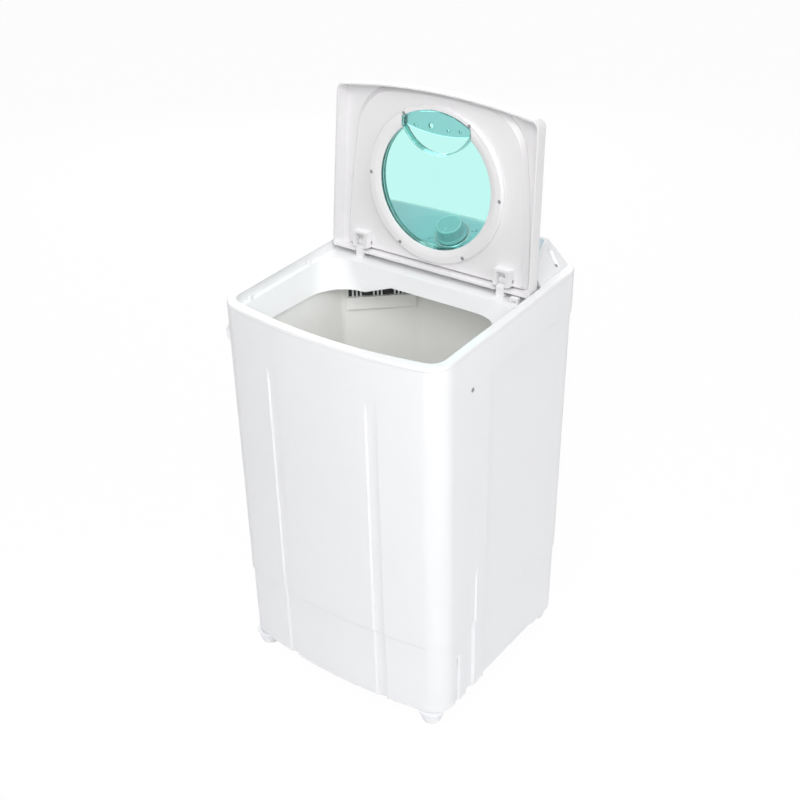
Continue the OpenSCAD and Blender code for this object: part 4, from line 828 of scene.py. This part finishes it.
class WASHER_OT_drive(bpy.types.Operator):
    """Makes the motor, the belt drive and the bearings"""

    bl_idname = "washer.drive"
    bl_label = "Drive"

    def execute(self, context):
        for cad_node, name in (
                ("shaft_seal", "rubber"), ("chassis_plate", "steel"), ("motor_mounts", "rubber"),
                ("capacitor_clip", "steel"), ("drive_shaft", "steel"), ("pulley_nut", "steel"),
                ("motor_rotor", "steel")):
            dress(cad_node, name)
        for cad_node, made, name in (
                ("bearing_housing", "bearing_carrier", "inner"), ("drain_pipe", "drain_elbow", "inner"),
                ("large_pulley", "driven_pulley", "inner"), ("small_pulley", "motor_pulley", "alloy"),
                ("drive_belt", "belt", "rubber")):
            reskin(cad_node, made, name)
        self.bearing("upper_bearing", "upper_race", 0.190)
        self.bearing("lower_bearing", "lower_race", 0.092)
        self.motor()
        self.capacitor()
        return {"FINISHED"}

    def bearing(self, cad_node, name, low):
        """A ball bearing: two races, a shield on each side and its balls"""
        bm = turned([(7.06, 0.3), (7.3, 0), (9.2, 0), (9.5, 0.3), (9.6, 3.2), (9.3, 5), (9.6, 6.8),
                     (9.5, 9.7), (9.2, 10), (7.3, 10), (7.06, 9.7), (7.06, 0.3)])
        outer = turned([(15, 0.5), (14.6, 0), (12.6, 0), (12.4, 0.3), (12.3, 3.2), (12.7, 5), (12.3, 6.8),
                        (12.4, 9.7), (12.6, 10), (14.6, 10), (15, 9.5), (15, 0.5)])
        shield = turned([(9.9, 0.7), (12.2, 0.7), (12.2, 1.0), (9.9, 1.0), (9.9, 0.7)])
        add(bm, outer)
        add(bm, shield)
        add(bm, shield, Matrix.Translation((0, 0, 0.0083)))
        for count in range(9):
            ball = bmesh.new()
            bmesh.ops.create_uvsphere(ball, u_segments=16, v_segments=10, radius=0.0016)
            turn = Matrix.Rotation(math.tau * count / 9, 4, "Z")
            add(bm, ball, turn @ Matrix.Translation((0.011, 0, 0.005)))
            ball.free()
        outer.free()
        shield.free()
        bm.transform(Matrix.Translation((0, TUB_Y, low)))
        piece(name, bm, cad_node, "steel", 40)

    def motor(self):
        """The motor: two cast end bells with vents, a stack of laminations and four through bolts"""
        lower = [(5.06, 57), (5.06, 0), (11, 0), (11.6, 0.4), (12.4, 2.4), (30, 3.4), (40, 4.2),
                 (44.2, 6.4), (45.8, 9.4), (46, 12), (46, 17.6), (45.4, 18), (43.5, 18)]
        upper = [(43.5, 48), (45.4, 48), (46, 48.4), (46, 54), (45.8, 56.6), (44.2, 59.6), (40, 61.8),
                 (30, 62.6), (14, 63.4), (12.6, 65.6), (12, 66), (0, 66), (0, 57), (5.06, 57)]
        bells = turned(lower + upper, 96)
        slots = bmesh.new()
        for count in range(12):
            slot = block((10, 3.4, 10), (33, 0, 63.4), 1.2)
            add(slots, slot, Matrix.Rotation(math.tau * (count + 0.5) / 12, 4, "Z"))
            slot.free()
        bells = carve(bells, slots)
        sheets = [point for i in range(19) for point in ((45.2, 18.6 + i * 1.5), (44.95, 19.4 + i * 1.5))]
        stack = turned([(43.55, 18.1), (45, 18.1), *sheets, (45, 47.9), (43.55, 47.9), (43.55, 18.1)], 96)
        bolts = bmesh.new()
        for count in range(4):
            turn = Matrix.Rotation(math.tau * (count + 0.5) / 4, 4, "Z")
            turn = turn @ Matrix.Translation((0.0375, 0, 0))
            nut = turned([(0, 61.5), (0, 65.6), (3.1, 65.6), (3.6, 65.2), (3.6, 61.5), (0, 61.5)], 6)
            stud = turned([(0, 65.0), (0, 66), (1.4, 66), (1.7, 65.7), (1.7, 65.0), (0, 65.0)], 20)
            add(bolts, nut, turn)
            add(bolts, stud, turn)
            nut.free()
            stud.free()
        for part, name, look in ((bells, "motor_bells", "alloy"), (stack, "motor_stack", "stack"),
                                 (bolts, "motor_bolts", "steel")):
            part.transform(Matrix.Translation(MOTOR_PLACE))
            piece(name, part, "motor_body", look, 32, replaces=name == "motor_bells")

    def capacitor(self):
        """The run capacitor: a can with a rolled rim and two blade terminals"""
        bm = turned([(0, 0), (16, 0), (16.8, 0.5), (17, 1.4), (17, 57.2), (16.7, 58), (16.7, 58.6),
                     (17, 59), (16.8, 59.8), (16.2, 60), (15.8, 59.4), (15.6, 58.6), (0, 58.6)], 72)
        for x in (-6, 6):
            blade = block((0.8, 6.3, 4.0), (x, 0, 60.0), 0.2)
            add(bm, blade)
            blade.free()
        bm.transform(Matrix.Translation(CAPACITOR_PLACE))
        piece("capacitor_can", bm, "capacitor", "inner", 35)


class WASHER_OT_fittings(bpy.types.Operator):
    """Makes the feet, the screws, the hook and the lead's gland"""

    bl_idname = "washer.fittings"
    bl_label = "Fittings"

    def execute(self, context):
        self.feet()
        reskin("hose_hook", "hook", "housing")
        reskin("lead_gland", "gland", "dark")
        screws("foot_screws", "foot_screw_heads", lambda p: (0, 0, -1), 4.2, 2.5, 2.0, "steel")
        screws("rear_cover_screws", "cover_screw_heads", lambda p: (0, 0.99959, 0.0287), 3.2, 1.0, 1.5)
        screws("side_screws", "side_screw_heads", lambda p: (math.copysign(1, p.x), 0, 0), 3.4, 1.1, 1.8)
        return {"FINISHED"}

    def feet(self):
        """Round feet with a rounded shoulder and a ribbed sole"""
        foot = turned([(2.2, 14), (2.2, 20), (19.6, 20), (20, 19.6), (19.75, 18.4), (15.4, 4.2),
                       (14.8, 1.6), (14.3, 0.6), (13.4, 0), (12, 0), (11.8, 0.7), (10.6, 0.7), (10.4, 0),
                       (8.6, 0), (8.4, 0.7), (7.2, 0.7), (7.0, 0), (5, 0), (5, 14), (2.2, 14)])
        bm = bmesh.new()
        for x in (-FOOT_X, FOOT_X):
            for y in (-FOOT_Y, FOOT_Y):
                add(bm, foot, Matrix.Translation((x, y, 0)))
        foot.free()
        piece("foot_posts", bm, "feet", "housing", 35)


class WASHER_OT_studio(bpy.types.Operator):
    """Makes the floor, the light and the camera"""

    bl_idname = "washer.studio"
    bl_label = "Studio"

    def execute(self, context):
        studio = context.scene.washer_studio
        bm = bmesh.new()
        bmesh.ops.create_grid(bm, x_segments=2, y_segments=2, size=6)
        mesh = bpy.data.meshes.new("floor")
        bm.to_mesh(mesh)
        bm.free()
        floor = bpy.data.objects.new("floor", mesh)
        context.scene.collection.objects.link(floor)
        floor.data.materials.append(floor_material())
        world_light(context.scene, studio.world)
        for name, place, size, power in (
                ("Key lamp", (0.8, -1.7, 2.0), 1.4, studio.key),
                ("Side lamp", (2.3, -0.6, 1.7), 1.4, studio.side),
                ("Top lamp", (-0.2, -0.3, 2.6), 1.6, studio.fill),
                ("Rear lamp", (-1.6, 1.9, 1.3), 1.8, studio.rear)):
            add_lamp(name, place, size, power)
        add_camera(context.scene, studio.lens)
        return {"FINISHED"}


def seen_ray(tree):
    """One for the camera's own rays and for rays that a reflection or the window sends on"""
    path = node(tree, "LightPath")
    passed = math_node(tree, "MAXIMUM", path.outputs["Is Glossy Ray"], path.outputs["Is Transmission Ray"])
    return math_node(tree, "MAXIMUM", path.outputs["Is Camera Ray"], passed)


def floor_material():
    """A pale floor that keeps the machine's shadow and shows white to the camera and in reflections"""
    made, tree, shader = base_material("Pale floor")
    tree.nodes.remove(shader)
    output = tree.nodes["Material Output"]
    plain = node(tree, "BsdfDiffuse", Color=(1, 1, 1, 1))
    glow = node(tree, "Emission", Color=(1, 1, 1, 1), Strength=1.0)
    blend = node(tree, "MixShader")
    wire(tree, (math_node(tree, "MULTIPLY", seen_ray(tree), 0.97), blend.inputs[0]),
         (plain.outputs[0], blend.inputs[1]), (glow.outputs[0], blend.inputs[2]),
         (blend.outputs[0], output.inputs["Surface"]))
    return made


def world_light(scene, level):
    """Plain white light from all sides, which the camera and reflections see as white"""
    world = bpy.data.worlds.new("Studio world")
    world.use_nodes = True
    tree = world.node_tree
    tree.nodes.clear()
    light = node(tree, "Background", Color=(1, 1, 1, 1), Strength=level)
    white = node(tree, "Background", Color=(1, 1, 1, 1), Strength=1.0)
    blend = node(tree, "MixShader")
    output = node(tree, "OutputWorld")
    wire(tree, (seen_ray(tree), blend.inputs[0]), (light.outputs[0], blend.inputs[1]),
         (white.outputs[0], blend.inputs[2]), (blend.outputs[0], output.inputs["Surface"]))
    scene.world = world


def add_lamp(name, place, size, power):
    """A square soft lamp that looks at the machine"""
    light = bpy.data.lights.new(name, "AREA")
    light.shape = "SQUARE"
    light.size = size
    light.energy = power
    lamp = bpy.data.objects.new(name, light)
    bpy.context.scene.collection.objects.link(lamp)
    lamp.location = place
    lamp.rotation_mode = "QUATERNION"
    lamp.rotation_quaternion = (Vector((0, 0, 0.4)) - Vector(place)).to_track_quat("-Z", "Y")


def add_camera(scene, lens):
    """The camera at the photograph's place"""
    data = bpy.data.cameras.new("Camera")
    data.lens = lens
    data.sensor_width = 36
    camera = bpy.data.objects.new("Camera", data)
    scene.collection.objects.link(camera)
    camera.location = CAMERA_PLACE
    camera.rotation_mode = "QUATERNION"
    roll = Matrix.Rotation(math.radians(CAMERA_ROLL), 4, "Z").to_quaternion()
    camera.rotation_quaternion = (CAMERA_TARGET - CAMERA_PLACE).to_track_quat("-Z", "Y") @ roll
    scene.camera = camera


class WASHER_PT_panel(bpy.types.Panel):
    """Lists the operators and their settings"""

    bl_idname = "WASHER_PT_panel"
    bl_label = "Mini washing machine"
    bl_space_type = "VIEW_3D"
    bl_region_type = "UI"
    bl_category = "Washer"

    def draw(self, context):
        """Draws the buttons and then every setting"""
        for operator in OPERATORS:
            self.layout.operator(operator.bl_idname)
        for group in GROUPS:
            settings = getattr(context.scene, group)
            for name in settings.__annotations__:
                self.layout.prop(settings, name)


GROUPS = {
    "washer_shell": WASHER_PG_shell,
    "washer_window": WASHER_PG_window,
    "washer_dial": WASHER_PG_dial,
    "washer_studio": WASHER_PG_studio,
}
OPERATORS = (
    WASHER_OT_shells,
    WASHER_OT_tub,
    WASHER_OT_lid,
    WASHER_OT_window,
    WASHER_OT_console,
    WASHER_OT_drive,
    WASHER_OT_fittings,
    WASHER_OT_studio,
)


def register():
    """Registers the settings, the operators and the panel"""
    for group, kind in GROUPS.items():
        bpy.utils.register_class(kind)
        setattr(bpy.types.Scene, group, bpy.props.PointerProperty(type=kind))
    for kind in (*OPERATORS, WASHER_PT_panel):
        bpy.utils.register_class(kind)


def unregister():
    """Takes everything out again"""
    for kind in (WASHER_PT_panel, *reversed(OPERATORS)):
        bpy.utils.unregister_class(kind)
    for group, kind in GROUPS.items():
        delattr(bpy.types.Scene, group)
        bpy.utils.unregister_class(kind)


def main():
    """Makes everything in order"""
    register()
    bpy.context.scene.view_settings.view_transform = "Standard"
    for name in ("shells", "tub", "lid", "window", "console", "drive", "fittings", "studio"):
        if getattr(bpy.ops.washer, name)() != {"FINISHED"}:
            raise RuntimeError("washer." + name + " did not finish")
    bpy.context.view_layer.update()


if __name__ == "__main__":
    main()
